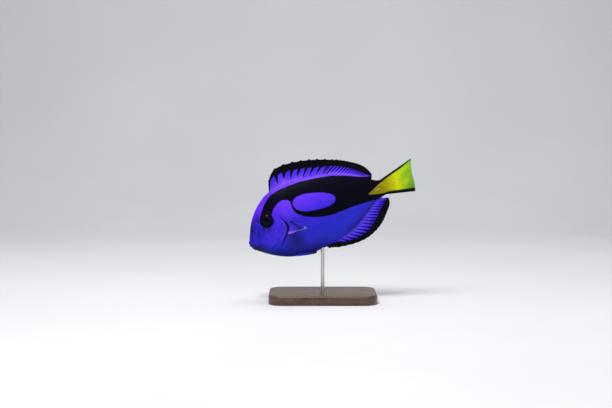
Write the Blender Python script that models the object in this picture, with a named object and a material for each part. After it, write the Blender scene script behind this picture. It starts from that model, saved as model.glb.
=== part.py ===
"""A regal blue tang, life size, swimming nose down, held by one rod on a plain display base.

Blender 4.5, metres, +Z up. The fish heads towards -X with its left side towards -Y. The origin is
on the floor, at the middle of the base's underside and on the rod's axis. The fish is modelled in
its own frame, along its own length, and hangs on an empty at the snout that tips it nose down.

In that frame u runs from the snout to the tail and v upwards, both as shares of the standard
length, which is snout to tail root. Thicknesses are in metres.
"""

import math

import bmesh
import bpy
import numpy as np
from mathutils import Matrix, Vector

# Driving dimensions
STANDARD_LENGTH = 0.1243
PITCH = math.radians(22.9)
GAP = 0.0003
BASE_LENGTH = 0.092
BASE_WIDTH = 0.058
BASE_THICKNESS = 0.008
BASE_CORNER = 0.012
BASE_BEVEL = 0.0015
BELLY_CLEARANCE = 0.030
ROD_RADIUS = 0.0016
ROD_SOCKET_DEPTH = 0.006
ROD_BASE_DEPTH = 0.005
ROD_SIDES = 20
ROD_U = 0.452             # where along the belly the rod enters it

# Profile of the body in side view, snout to tail root
BACK = [(0, -0.0120), (0.0355, 0.0675), (0.0980, 0.1605), (0.1420, 0.2025), (0.1900, 0.2375),
        (0.2520, 0.2660), (0.35, 0.2735), (0.46, 0.2745), (0.56, 0.2630), (0.657, 0.2390), (0.76, 0.1960),
        (0.86, 0.1390), (0.93, 0.0880), (0.975, 0.0565), (1.01, 0.0480), (1.06, 0.0500)]
BELLY = [(0, -0.0120), (0.0080, -0.0390), (0.0220, -0.0620), (0.0486, -0.0870), (0.0800, -0.1130),
         (0.1157, -0.1400), (0.1744, -0.1757), (0.2288, -0.2005), (0.2862, -0.2183), (0.3542, -0.2325),
         (0.43, -0.2345), (0.52, -0.2290), (0.62, -0.2140), (0.70, -0.1920), (0.7963, -0.1490),
         (0.859, -0.1130), (0.92, -0.0800), (0.97, -0.0630), (1.01, -0.0580), (1.06, -0.0590)]
# Half of the body's width along its length
HALF_WIDTH = [(0, 0.0230), (0.02, 0.0290), (0.05, 0.0370), (0.10, 0.0480), (0.17, 0.0620), (0.25, 0.0735),
              (0.33, 0.0785), (0.42, 0.0780), (0.52, 0.0720), (0.63, 0.0600), (0.75, 0.0445), (0.86, 0.0310),
              (0.93, 0.0240), (0.985, 0.0200), (1.06, 0.0170)]
WIDEST_AT = 0.47          # height of the widest line, as a share of the depth
SECTION_POWER = 1.22      # 1 is an ellipse, more makes the back and belly narrower
SNOUT_TIP = -0.0120
SNOUT_ROUND = 0.0220
SNOUT_LENGTH = 0.0080
SNOUT_WIDTH_RUN = 0.0060
TAIL_ROOT = 1.004         # where the flesh ends and the tail fin starts

# Cuts between head, trunk and tail stalk, and round the lower jaw
GILL_EDGE = [(0.236, 0.36), (0.254, 0.17), (0.272, 0.079), (0.2925, 0.020), (0.262, -0.041),
             (0.222, -0.078), (0.178, -0.125), (0.156, -0.28)]
STALK_CUT = 0.905
MOUTH_LINE = [(-0.05, -0.0010), (-0.004, -0.0105), (0.013, -0.0190), (0.029, -0.0330)]
JAW_HINGE = [(0.029, -0.0330), (0.042, -0.0600), (0.056, -0.1400)]

# The raised rear edge of the gill cover, and the flesh that lies lower behind it
GILL_LIFT = 0.0010
GILL_LIFT_RUN = 0.050
GILL_SINK = 0.0007
GILL_SINK_RUN = 0.022
GILL_OPENING = (-0.135, 0.105)
GILL_FADE = 0.03          # over which the cover's edge rises at the ends of the opening
CHEEK_RIDGE = [(0.212, 0.135), (0.232, 0.070), (0.222, 0.000), (0.180, -0.065), (0.115, -0.088)]
CHEEK_RIDGE_HEIGHT = 0.0005
CHEEK_RIDGE_SIZE = 0.012

EYE_CENTRE = (0.1765, 0.1000)
EYE_RADIUS = 0.0450
EYE_HALF_DEPTH = 0.0032
EYE_PROUD = 0.0015
EYE_TURN = (math.radians(8), math.radians(11))   # tipped up, and turned towards the snout
ORBIT_RADIUS = 0.0431      # of the low rim of skin round the eye
ORBIT_HEIGHT = 0.0005
ORBIT_SIZE = 0.012
NOSTRILS = [((0.0935, 0.1035), 0.00045), ((0.1085, 0.1135), 0.00060)]
NOSTRIL_DEPTH = 0.0014
NOSTRIL_CLEAR = 0.0030    # how far out of the skin the tools that cut the nostrils reach

LIP_HALF_WIDTH = 0.0290
LIP_CORNER = 0.0290
LIP_FRONT = 0.0030
LIP_RADIUS = (0.0011, 0.0004)                    # at the front and at the corners
LIP_LIFT = 0.0080
LIP_MIDDLE = 0.0010       # how far each lip's middle lies from the mouth line at the corners

# Fins of the midline: root along the body, outer edge, and how far the rays lean back
DORSAL_ROOT = (0.262, 0.945)
DORSAL_EDGE = [(0.287, 0.3370), (0.339, 0.3915), (0.454, 0.4030), (0.610, 0.3655), (0.765, 0.3000),
               (0.880, 0.2280), (0.938, 0.1690), (0.9625, 0.1080)]
DORSAL_LEAN = 0.29
DORSAL_SPINES, DORSAL_RAYS, DORSAL_SPINE_GAP = 9, 19, 2.82
DORSAL_CROWDING = 0.55    # how much closer than the middle ones the last soft rays stand
ANAL_ROOT = (0.484, 0.956)
ANAL_EDGE = [(0.495, -0.2480), (0.560, -0.2690), (0.650, -0.2860), (0.740, -0.2880), (0.830, -0.2660),
             (0.905, -0.2230), (0.965, -0.1660), (1.001, -0.1180), (1.006, -0.0850)]
ANAL_LEAN = 0.40
ANAL_SPINES, ANAL_RAYS, ANAL_SPINE_GAP = 3, 18, 1.2
FIRST_GAP = 1.5           # the gap behind the first spine, compared with the other spines'
TAIL_FIN_ROOT = [(1.000, 0.0462), (1.0065, -0.0040), (1.000, -0.0530)]
TAIL_FIN_EDGE = [(1.250, 0.1035), (1.2310, 0.0570), (1.2195, 0.0130), (1.2122, -0.0360),
                 (1.2035, -0.0850), (1.1920, -0.1165)]
TAIL_FIN_RAYS = 16
FIN_ROOT_SINK = 0.0022
PAIRED_ROOT_SINK = 0.0005
FIN_HALF_ROOT = 0.00075
FIN_HALF_TIP = 0.00026
TAIL_FIN_HALF_ROOT = 0.0018
RIDGE_ROOT = 0.00035
RIDGE_TIP = 0.00010
RIDGE_SHARE = 0.26        # half of a ridge's width, as a share of the space between rays
SPINE_SHARE = 0.12
WIDEST_PANEL = 1.3        # widest flat panel of membrane, in spaces between soft rays
SPINE_TIP_REACH = 0.0010
RAY_TIP_REACH = 0.0004

# Paired fins, of the left side. Points are (u, v, distance out from the midline)
PECTORAL_ROOT = [(0.3190, 0.0360, 0.062), (0.2700, -0.0440, 0.062)]
PECTORAL_EDGE = [(0.4097, -0.0296, 0.290), (0.4120, -0.0390, 0.245), (0.4000, -0.0430, 0.200),
                 (0.3640, -0.0430, 0.150)]
PECTORAL_RAYS = 12
PECTORAL_BOW = 0.0022
PECTORAL_HALF = (0.00080, 0.00026)
PECTORAL_RIDGE = (0.00022, 0.00008)
PELVIC_ROOT = [(0.2800, -0.2040, 0.0260), (0.2900, -0.2140, 0.0090)]
PELVIC_EDGE = [(0.4100, -0.2310, 0.0360), (0.4050, -0.2400, 0.0230), (0.3950, -0.2440, 0.0110)]
PELVIC_RAYS = 4
PELVIC_BOW = -0.0006
PELVIC_HALF = (0.00070, 0.00028)
PELVIC_RIDGE = (0.00025, 0.00012)

# The folding spine on each side of the tail stalk, tip forward
TAIL_SPINE = [(0.9300, -0.0060), (0.9850, -0.0060)]
TAIL_SPINE_HEIGHT = 0.0017
TAIL_SPINE_THICKNESS = 0.0012
TAIL_SPINE_PROUD = 0.0005

# How finely the shapes are divided
HEAD_STATIONS, BODY_STATIONS, RING = 24, 30, 40
FIN_ROWS = 6
BOTH_SIDES = (("left", -1), ("right", 1))
REACH = 0.06              # half of a cutter's width, more than the fish's
FAR = 0.45                # a height past the back and the belly

COLOURS = {
    "blue_skin": ((0.060, 0.040, 0.760), 0.42, 0.0),
    "blue_fin": ((0.110, 0.060, 0.860), 0.45, 0.0),
    "yellow_fin": ((0.620, 0.680, 0.020), 0.45, 0.0),
    "eye": ((0.010, 0.010, 0.020), 0.08, 0.0),
    "pale_spine": ((0.720, 0.700, 0.480), 0.40, 0.0),
    "walnut": ((0.110, 0.055, 0.030), 0.45, 0.0),
    "steel": ((0.560, 0.570, 0.580), 0.28, 1.0),
}


def spline(points):
    """A natural cubic through the points, as a function of their first value."""
    x, y = (np.array(column, float) for column in zip(*points))
    n = len(x)
    h = np.diff(x)
    system = np.eye(n)
    right = np.zeros(n)
    for i in range(1, n - 1):
        system[i, i - 1:i + 2] = h[i - 1], 2 * (h[i - 1] + h[i]), h[i]
        right[i] = 6 * ((y[i + 1] - y[i]) / h[i] - (y[i] - y[i - 1]) / h[i - 1])
    bend = np.linalg.solve(system, right)

    def value(at):
        at = np.asarray(at, float)
        i = np.clip(np.searchsorted(x, at) - 1, 0, n - 2)
        a, b = x[i + 1] - at, at - x[i]
        return (bend[i] * a**3 + bend[i + 1] * b**3) / (6 * h[i]) \
            + (y[i] / h[i] - bend[i] * h[i] / 6) * a + (y[i + 1] / h[i] - bend[i + 1] * h[i] / 6) * b

    return value


def along(points):
    """A smooth path through the points, as a function from 0 to 1 of the share of its length."""
    knots = np.array(points, float)
    steps = np.linalg.norm(np.diff(knots, axis=0), axis=1)
    share = np.concatenate([[0], np.cumsum(steps)]) / steps.sum()
    axes = [spline(list(zip(share, knots[:, k]))) for k in range(knots.shape[1])]
    return lambda t: np.stack([axis(t) for axis in axes], axis=-1)


back, belly, half_width = spline(BACK), spline(BELLY), spline(HALF_WIDTH)
gill_path = along(GILL_EDGE)(np.linspace(0, 1, 40))
cheek_path = along(CHEEK_RIDGE)(np.linspace(0, 1, 30))


def snout_bulge(u):
    """What rounds the snout's tip, where back and belly meet at an angle."""
    u = np.maximum(u, 0)
    return SNOUT_ROUND * np.sqrt(u / SNOUT_LENGTH) * np.exp(-u / SNOUT_LENGTH)


def body_top(u):
    return back(u) + snout_bulge(u)


def body_bottom(u):
    return belly(u) - snout_bulge(u)


def body_half(u):
    return half_width(u) * np.sqrt(1 - np.exp(-np.maximum(u, 0) / SNOUT_WIDTH_RUN))


def widest_line(u):
    return body_bottom(u) + WIDEST_AT * (body_top(u) - body_bottom(u))


def gill_edge(v):
    """Where the gill cover ends at the height v."""
    return np.interp(-np.asarray(v, float), -gill_path[:, 1], gill_path[:, 0])


def bump(x):
    return np.exp(-np.asarray(x, float) ** 2)


def opening_window(v):
    """1 along the gill opening, fading to 0 past its ends."""
    low, high = GILL_OPENING
    return np.clip((v - low) / GILL_FADE, 0, 1) * np.clip((high - v) / GILL_FADE, 0, 1)


def distance_to(path, u, v):
    gaps = np.hypot(u[..., None] - path[:, 0], v[..., None] - path[:, 1])
    return gaps.min(axis=-1)


def relief(u, v, behind_gills):
    """How far the flesh stands out of the plain section at (u, v), in metres."""
    u, v = np.broadcast_arrays(np.asarray(u, float), np.asarray(v, float))
    edge = gill_edge(v)
    if behind_gills:
        return -GILL_SINK * np.exp(-np.maximum(u - edge, 0) / GILL_SINK_RUN) * opening_window(v)
    lift = GILL_LIFT * np.clip(1 - (edge - u) / GILL_LIFT_RUN, 0, 1) ** 2 * opening_window(v)
    to_eye = np.hypot(u - EYE_CENTRE[0], v - EYE_CENTRE[1])
    orbit = ORBIT_HEIGHT * bump((to_eye - ORBIT_RADIUS) / ORBIT_SIZE)
    cheek = CHEEK_RIDGE_HEIGHT * bump(distance_to(cheek_path, u, v) / CHEEK_RIDGE_SIZE)
    return lift + orbit + cheek


def section(u, turn, grow, behind_gills):
    """The point of the body's surface at u, round the section by an angle from its widest line."""
    top, bottom = body_top(u) + grow / STANDARD_LENGTH, body_bottom(u) - grow / STANDARD_LENGTH
    middle = widest_line(u)
    rise = math.sin(turn)
    v = middle + (top - middle if rise > 0 else middle - bottom) * rise
    shape = abs(math.cos(turn)) ** SECTION_POWER
    out = (body_half(u) * STANDARD_LENGTH + grow) * shape
    out += float(relief(u, v, behind_gills)) * min(1, 3 * shape)
    return float(v), math.copysign(out, math.cos(turn))


def surface_out(u, v):
    """Distance from the midline to the plain body surface at (u, v), in metres."""
    middle = widest_line(u)
    reach = body_top(u) - middle if v > middle else middle - body_bottom(u)
    share = min(abs(v - middle) / reach, 1)
    return float(body_half(u) * STANDARD_LENGTH * (1 - share**2) ** (SECTION_POWER / 2))


def in_fish(u, v, y):
    """A point of the fish's own frame, in metres."""
    return Vector((float(u) * STANDARD_LENGTH, float(y), float(v) * STANDARD_LENGTH))


def tipped(u, v):
    """How far behind and above the snout this point of the midline is once the fish is tipped."""
    x = u * math.cos(PITCH) - v * math.sin(PITCH)
    z = u * math.sin(PITCH) + v * math.cos(PITCH)
    return x * STANDARD_LENGTH, z * STANDARD_LENGTH


def snout_place():
    """The snout's place in the row frame: the rod is at X 0 and the belly clears the base."""
    rod_x, _ = tipped(ROD_U, body_bottom(ROD_U))
    belly_line = np.linspace(0, 1, 201)
    lowest = tipped(belly_line, body_bottom(belly_line))[1].min()
    return Vector((-rod_x, 0, BASE_THICKNESS + BELLY_CLEARANCE - lowest))


def make_object(name, points, faces, parent=None):
    mesh = bpy.data.meshes.new(name)
    mesh.from_pydata([tuple(p) for p in points], [], faces)
    mesh.update()
    obj = bpy.data.objects.new(name, mesh)
    bpy.context.scene.collection.objects.link(obj)
    obj.parent = parent
    return obj


def face_outwards(obj):
    shape = bmesh.new()
    shape.from_mesh(obj.data)
    bmesh.ops.recalc_face_normals(shape, faces=shape.faces)
    if shape.calc_volume(signed=True) < 0:
        bmesh.ops.reverse_faces(shape, faces=shape.faces)
    shape.to_mesh(obj.data)
    shape.free()


def keep_largest(obj):
    """Leaves only the object's largest closed surface."""
    shape = bmesh.new()
    shape.from_mesh(obj.data)
    left = set(shape.faces)
    surfaces = []
    while left:
        surface, edge = [], [left.pop()]
        while edge:
            face = edge.pop()
            surface.append(face)
            beside = {other for side in face.edges for other in side.link_faces} & left
            left -= beside
            edge += beside
        surfaces.append(surface)
    surfaces.sort(key=enclosed)
    spare = [face for surface in surfaces[:-1] for face in surface]
    bmesh.ops.delete(shape, geom=spare, context="FACES")
    shape.to_mesh(obj.data)
    shape.free()


def enclosed(faces):
    """The volume inside a closed surface, less than zero if it is a hollow's."""
    corners = [[loop.vert.co for loop in face.loops] for face in faces]
    return sum(a.dot(b.cross(c)) / 6 for a, *rest in corners for b, c in zip(rest, rest[1:]))


def boolean(obj, other, operation, solver="EXACT"):
    """Applies a Boolean to obj and removes the other object."""
    modifier = obj.modifiers.new("cut", "BOOLEAN")
    modifier.operation = operation
    modifier.object = other
    modifier.solver = solver
    bpy.context.view_layer.update()
    graph = bpy.context.evaluated_depsgraph_get()
    made = bpy.data.meshes.new_from_object(obj.evaluated_get(graph))
    obj.modifiers.clear()
    obj.data = made
    bpy.data.objects.remove(other)
    keep_largest(obj)
    return obj


def finish(obj, name, colour, smooth_angle=35):
    obj.name = name
    obj.data.name = name
    obj.data.shade_smooth()
    obj.data.set_sharp_from_angle(angle=math.radians(smooth_angle))
    obj.data.materials.clear()
    obj.data.materials.append(material(colour))
    return obj


def material(name):
    found = bpy.data.materials.get(name)
    if found:
        return found
    base, roughness, metallic = COLOURS[name]
    made = bpy.data.materials.new(name)
    made.use_nodes = True
    shader = made.node_tree.nodes["Principled BSDF"]
    shader.inputs["Base Color"].default_value = (*base, 1)
    shader.inputs["Roughness"].default_value = roughness
    shader.inputs["Metallic"].default_value = metallic
    return made


def grid_faces(rows, columns, closed):
    """Quads of a grid of points stored row by row."""
    last = columns if closed else columns - 1
    return [(r * columns + c, r * columns + (c + 1) % columns,
             (r + 1) * columns + (c + 1) % columns, (r + 1) * columns + c)
            for r in range(rows - 1) for c in range(last)]


def stations():
    head_end = 0.30
    head = [head_end * (i / HEAD_STATIONS) ** 1.6 for i in range(1, HEAD_STATIONS + 1)]
    rest = [head_end + (TAIL_ROOT - head_end) * i / BODY_STATIONS for i in range(1, BODY_STATIONS + 1)]
    return head + rest


def flesh(name, fish, grow=0.0, behind_gills=False):
    """The whole body without fins as one closed loft, from the snout's tip to the tail root."""
    rings = stations()
    if grow:
        rings[-1] += grow / STANDARD_LENGTH
    points = [in_fish(-grow / STANDARD_LENGTH, SNOUT_TIP, 0)]
    for u in rings:
        for step in range(RING):
            turn = 2 * math.pi * step / RING
            v, y = section(u, turn, grow, behind_gills)
            points.append(in_fish(u, v, y))
    faces = [(0, 1 + (c + 1) % RING, 1 + c) for c in range(RING)]
    faces += [tuple(i + 1 for i in face) for face in grid_faces(len(rings), RING, True)]
    end = 1 + (len(rings) - 1) * RING
    faces.append(tuple(range(end, end + RING)))
    body = make_object(name, points, faces, fish)
    face_outwards(body)
    return body


def prism(name, outline, fish):
    """A block right through the fish, with this outline in side view."""
    count = len(outline)
    points = [in_fish(u, v, side * REACH) for side in (-1, 1) for u, v in outline]
    faces = [tuple(range(count)), tuple(range(2 * count - 1, count - 1, -1))]
    faces += [(i, i + count, (i + 1) % count + count, (i + 1) % count) for i in range(count)]
    block = make_object(name, points, faces, fish)
    face_outwards(block)
    return block


def moved_aside(path, distance):
    """The path moved sideways by a distance in metres: to its left as it runs."""
    path = np.array(path, float)
    run = np.gradient(path, axis=0)
    run /= np.linalg.norm(run, axis=1)[:, None]
    aside = np.stack([-run[:, 1], run[:, 0]], axis=1)
    return [tuple(p) for p in path + aside * distance / STANDARD_LENGTH]


def jaw_cut(distance):
    """The mouth line and the cut behind the jaw, as one path moved up and back by a distance."""
    mouth = along(MOUTH_LINE)(np.linspace(0, 1, 6))
    hinge = along(JAW_HINGE)(np.linspace(0, 1, 4))
    return moved_aside(np.concatenate([mouth, hinge[1:]]), distance)


def lip(name, fish, side):
    """A crescent from one mouth corner round the front to the other; side is 1 above, -1 below."""
    steps, around = 15, 8
    line = spline(MOUTH_LINE)
    points = []
    for step in range(steps):
        swing = math.pi * (step / (steps - 1) - 0.5)
        forward = math.cos(swing)
        u = LIP_CORNER + (LIP_FRONT - LIP_CORNER) * forward
        y = LIP_HALF_WIDTH * math.sin(swing) * STANDARD_LENGTH
        radius = LIP_RADIUS[1] + (LIP_RADIUS[0] - LIP_RADIUS[1]) * forward
        v = float(line(u)) + side * (LIP_MIDDLE + LIP_LIFT * forward**0.5)
        centre = in_fish(u, v, y)
        across = Vector((-forward, math.sin(swing), 0)).normalized()
        for turn in range(around):
            angle = 2 * math.pi * turn / around
            points.append(centre + across * math.cos(angle) * radius
                          + Vector((0, 0, 1)) * math.sin(angle) * radius)
    faces = grid_faces(steps, around, True)
    faces.append(tuple(range(around)))
    faces.append(tuple(range(len(points) - around, len(points))))
    tube = make_object(name, points, faces, fish)
    face_outwards(tube)
    return tube


def ellipsoid(name, radii, across, around, fish):
    """Its poles are on Y."""
    shape = bmesh.new()
    bmesh.ops.create_uvsphere(shape, u_segments=around, v_segments=across, radius=1)
    mesh = bpy.data.meshes.new(name)
    shape.to_mesh(mesh)
    shape.free()
    mesh.transform(Matrix.Diagonal((*radii, 1)) @ Matrix.Rotation(math.pi / 2, 4, "X"))
    obj = bpy.data.objects.new(name, mesh)
    bpy.context.scene.collection.objects.link(obj)
    obj.parent = fish
    return obj


def eye_place(side):
    """Place and turn of an eye: side is -1 on the left."""
    u, v = EYE_CENTRE
    out = surface_out(u, v) + EYE_PROUD - EYE_HALF_DEPTH
    turn = Matrix.Rotation(side * EYE_TURN[1], 4, "Z") @ Matrix.Rotation(side * EYE_TURN[0], 4, "X")
    return Matrix.Translation(in_fish(u, v, side * out)) @ turn


def eyeball(name, fish, side, grow=0.0):
    radius = EYE_RADIUS * STANDARD_LENGTH + grow
    ball = ellipsoid(name, (radius, EYE_HALF_DEPTH + grow, radius), 10, 18, fish)
    ball.data.transform(eye_place(side))
    return ball


def rod_like(name, start, end, radius, sides, parent=None):
    """A cylinder from start to end."""
    way = Vector(end) - Vector(start)
    shape = bmesh.new()
    bmesh.ops.create_cone(shape, cap_ends=True, segments=sides, radius1=radius, radius2=radius,
                          depth=way.length)
    mesh = bpy.data.meshes.new(name)
    shape.to_mesh(mesh)
    shape.free()
    turn = way.to_track_quat("Z", "Y").to_matrix().to_4x4()
    mesh.transform(Matrix.Translation((Vector(start) + Vector(end)) / 2) @ turn)
    obj = bpy.data.objects.new(name, mesh)
    bpy.context.scene.collection.objects.link(obj)
    obj.parent = parent
    return obj


def ray_columns(spines, rays, spine_gap=1.0, crowding=0.0):
    """Where a fin's columns of points lie along it, as (share, height of ridge from 0 to 1, spine).

    The spines in front stand spine_gap times as far apart as the soft rays behind them, and the
    soft rays crowd together towards the rear.
    """
    soft = rays if spines else rays - 1
    gaps = [spine_gap] * max(spines - 1, 0)
    gaps += [1 + crowding * (1 - 2 * i / (soft - 1)) for i in range(soft)]
    if spines:
        gaps[0] *= FIRST_GAP
    gap = 1 / sum(gaps)
    columns = []
    for i in range(spines + rays):
        centre = sum(gaps[:i]) * gap
        spiny = i < spines
        half = gap * (SPINE_SHARE * spine_gap if spiny else RIDGE_SHARE * min(gaps[max(i - 1, 0):i + 1]))
        for offset, height in ((-half, 0), (0, 1), (half, 0)):
            if -1e-9 < centre + offset < 1 + 1e-9:
                columns.append((min(max(centre + offset, 0.0), 1.0), height, spiny))
    filled = columns[:1]
    for share, height, spiny in columns[1:]:
        start = filled[-1][0]
        pieces = math.ceil((share - start) / (WIDEST_PANEL * gap))
        filled += [(start + (share - start) * i / pieces, 0, spiny) for i in range(1, pieces)]
        filled.append((share, height, spiny))
    return filled


def fin(name, fish, root, edge, columns, halves, ridges, bow=0.0, sink=FIN_ROOT_SINK):
    """A closed blade between a root path and an outer edge, with its rays as ridges on both faces.

    root and edge give points in metres at a share of the fin. The blade starts sunk under the
    root, is thick there and thins to the edge, and bows out of its plane by bow.
    """
    depth = np.concatenate([[0], np.linspace(0, 1, FIN_ROWS)])
    middle = np.zeros((len(columns), len(depth), 3))
    for c, (share, height, spiny) in enumerate(columns):
        start, end = root(share), edge(share)
        way = end - start
        length = np.linalg.norm(way)
        reach = (SPINE_TIP_REACH if spiny else RAY_TIP_REACH) * (height - 0.5)
        end = end + way / length * reach
        for r, t in enumerate(depth):
            middle[c, r] = start + (end - start) * t
        middle[c, 0] = start - way / length * sink
    across = np.gradient(middle, axis=0)
    down = np.gradient(middle, axis=1)
    normal = np.cross(across, down)
    normal /= np.linalg.norm(normal, axis=2)[..., None]
    shares = np.array([share for share, _, _ in columns])
    arch = np.sin(math.pi * depth)[None, :] * np.sin(math.pi * (0.15 + 0.7 * shares))[:, None]
    middle = middle + normal * (bow * arch)[..., None]
    ridge = np.array([height for _, height, _ in columns])[:, None]
    half = halves[0] + (halves[1] - halves[0]) * depth[None, :] ** 0.8
    half = half + ridge * (ridges[0] + (ridges[1] - ridges[0]) * depth[None, :])
    near, far = middle + normal * half[..., None], middle - normal * half[..., None]
    rows_in = len(depth)
    points = [Vector(p) for p in near.reshape(-1, 3)] + [Vector(p) for p in far.reshape(-1, 3)]
    offset = len(columns) * rows_in
    faces = []
    for a, b, c, d in grid_faces(len(columns), rows_in, False):
        faces += [(a, b, c), (a, c, d), (c + offset, b + offset, a + offset),
                  (d + offset, c + offset, a + offset)]
    rim = list(range(rows_in))
    rim += [c * rows_in + rows_in - 1 for c in range(1, len(columns))]
    rim += [(len(columns) - 1) * rows_in + r for r in range(rows_in - 2, -1, -1)]
    rim += [c * rows_in for c in range(len(columns) - 2, 0, -1)]
    for i, a in enumerate(rim):
        b = rim[(i + 1) % len(rim)]
        faces += [(a, b, b + offset), (a, b + offset, a + offset)]
    blade = make_object(name, points, faces, fish)
    face_outwards(blade)
    return blade


def flat_point(uv):
    return np.array([uv[0] * STANDARD_LENGTH, 0.0, uv[1] * STANDARD_LENGTH])


def lean_back(share, lean):
    """Where on the outer edge a ray ends that starts at this share of the root."""
    return share + lean * share * (1 - share)


def midline_fin(name, fish, contour, span, edge_points, lean, columns):
    """The dorsal or the anal fin, rooted along the body's back or belly."""
    edge_path = along(edge_points)

    def root(share):
        u = span[0] + (span[1] - span[0]) * share
        return flat_point((u, float(contour(u))))

    def edge(share):
        return flat_point(edge_path(lean_back(share, lean)))

    blade = fin(name, fish, root, edge, columns, (FIN_HALF_ROOT, FIN_HALF_TIP), (RIDGE_ROOT, RIDGE_TIP))
    return boolean(blade, flesh("cutter", fish, GAP), "DIFFERENCE")


def tail_fin(name, fish):
    root_path, edge_path = along(TAIL_FIN_ROOT), along(TAIL_FIN_EDGE)
    blade = fin(name, fish, lambda share: flat_point(root_path(share)),
                lambda share: flat_point(edge_path(share)), ray_columns(0, TAIL_FIN_RAYS),
                (TAIL_FIN_HALF_ROOT, FIN_HALF_TIP), (RIDGE_ROOT, RIDGE_TIP))
    return boolean(blade, flesh("cutter", fish, GAP), "DIFFERENCE")


def paired_fin(name, fish, side, root_points, edge_points, rays, bow, halves, ridges):
    """A pectoral or pelvic fin; side is -1 on the left. Its root is inside the flesh, then cut."""
    root_path, edge_path = along(root_points), along(edge_points)

    def point(uvy):
        return np.array([uvy[0], side * uvy[2], uvy[1]]) * STANDARD_LENGTH

    blade = fin(name, fish, lambda share: point(root_path(share)), lambda share: point(edge_path(share)),
                ray_columns(0, rays), halves, ridges, side * bow, PAIRED_ROOT_SINK)
    return boolean(blade, flesh("cutter", fish, GAP), "DIFFERENCE")


def spine_blade(name, fish, side, grow=0.0):
    """The folded spine of the tail stalk: a thin pointed blade, tip forward; side is -1 on the left."""
    (tip_u, tip_v), (end_u, end_v) = TAIL_SPINE
    steps = 8
    points, around = [], 8
    for step in range(steps + 1):
        t = step / steps
        u = tip_u + (end_u - tip_u) * t
        v = tip_v + (end_v - tip_v) * t
        size = math.sin(math.pi * min(0.06 + 0.64 * t**0.8, 0.70)) if t < 1 else 0.6
        out = surface_out(u, v) + TAIL_SPINE_PROUD - TAIL_SPINE_THICKNESS / 2
        centre = in_fish(u, v, side * out)
        centre.x += grow * (2 * t - 1)
        for turn in range(around):
            angle = 2 * math.pi * turn / around
            high = (TAIL_SPINE_HEIGHT / 2 * size + grow) * math.sin(angle)
            wide = (TAIL_SPINE_THICKNESS / 2 * size + grow) * math.cos(angle)
            points.append(centre + Vector((0, wide, high)))
    faces = grid_faces(steps + 1, around, True)
    faces.append(tuple(range(around)))
    faces.append(tuple(range(len(points) - around, len(points))))
    blade = make_object(name, points, faces, fish)
    face_outwards(blade)
    return blade


def lipped_flesh(name, fish):
    """The whole body with the upper and the lower lip round its mouth line."""
    body = flesh(name, fish)
    for side in (1, -1):
        boolean(body, lip("lip", fish, side), "UNION")
    return body


def head_and_jaw(fish):
    """The head, the lower jaw below its mouth line, and the eyes in their sockets."""
    half = GAP / 2
    gill = moved_aside(gill_path, -half)
    above, below = jaw_cut(half), jaw_cut(-half)
    head_outline = [(-0.05, FAR), (gill[0][0], FAR), *gill, (gill[-1][0], -FAR),
                    (above[-1][0], -FAR), *above[::-1]]
    jaw_outline = [*below, (below[-1][0], -FAR), (-0.05, -FAR)]
    head = boolean(lipped_flesh("head", fish), prism("cutter", head_outline, fish), "INTERSECT")
    jaw = boolean(lipped_flesh("lower_jaw", fish), prism("cutter", jaw_outline, fish), "INTERSECT")
    for name, side in BOTH_SIDES:
        boolean(head, eyeball("cutter", fish, side, GAP), "DIFFERENCE")
        for (u, v), radius in NOSTRILS:
            out = surface_out(u, v)
            start = in_fish(u, v, side * (out - NOSTRIL_DEPTH))
            end = in_fish(u, v, side * (out + NOSTRIL_CLEAR))
            boolean(head, rod_like("cutter", start, end, radius, 8, fish), "DIFFERENCE")
        finish(eyeball(f"eye_{name}", fish, side), f"eye_{name}", "eye", 60)
    finish(head, "head", "blue_skin")
    finish(jaw, "lower_jaw", "blue_skin")


def trunk_and_stalk(fish):
    """The trunk behind the gills, with the rod's socket, and the tail stalk with its grooves."""
    half = GAP / 2
    gill = moved_aside(gill_path, half)
    cut = half / STANDARD_LENGTH
    trunk_outline = [*gill, (gill[-1][0], -FAR), (STALK_CUT - cut, -FAR), (STALK_CUT - cut, FAR),
                     (gill[0][0], FAR)]
    stalk_outline = [(STALK_CUT + cut, -FAR), (1.2, -FAR), (1.2, FAR), (STALK_CUT + cut, FAR)]
    trunk = boolean(flesh("trunk", fish, behind_gills=True), prism("cutter", trunk_outline, fish),
                    "INTERSECT")
    top = rod_top()
    socket = rod_like("cutter", (0, 0, BASE_THICKNESS), (0, 0, top + GAP), ROD_RADIUS + GAP, ROD_SIDES)
    boolean(trunk, socket, "DIFFERENCE")
    stalk = boolean(flesh("tail_stalk", fish, behind_gills=True), prism("cutter", stalk_outline, fish),
                    "INTERSECT")
    for name, side in BOTH_SIDES:
        boolean(stalk, spine_blade("cutter", fish, side, GAP), "DIFFERENCE")
        finish(spine_blade(f"tail_spine_{name}", fish, side), f"tail_spine_{name}", "pale_spine", 60)
    finish(trunk, "trunk", "blue_skin")
    finish(stalk, "tail_stalk", "yellow_fin")


def rod_top():
    """Height of the rod's end, inside its socket in the belly."""
    _, above_snout = tipped(ROD_U, body_bottom(ROD_U))
    return snout_place().z + float(above_snout) + ROD_SOCKET_DEPTH


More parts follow.
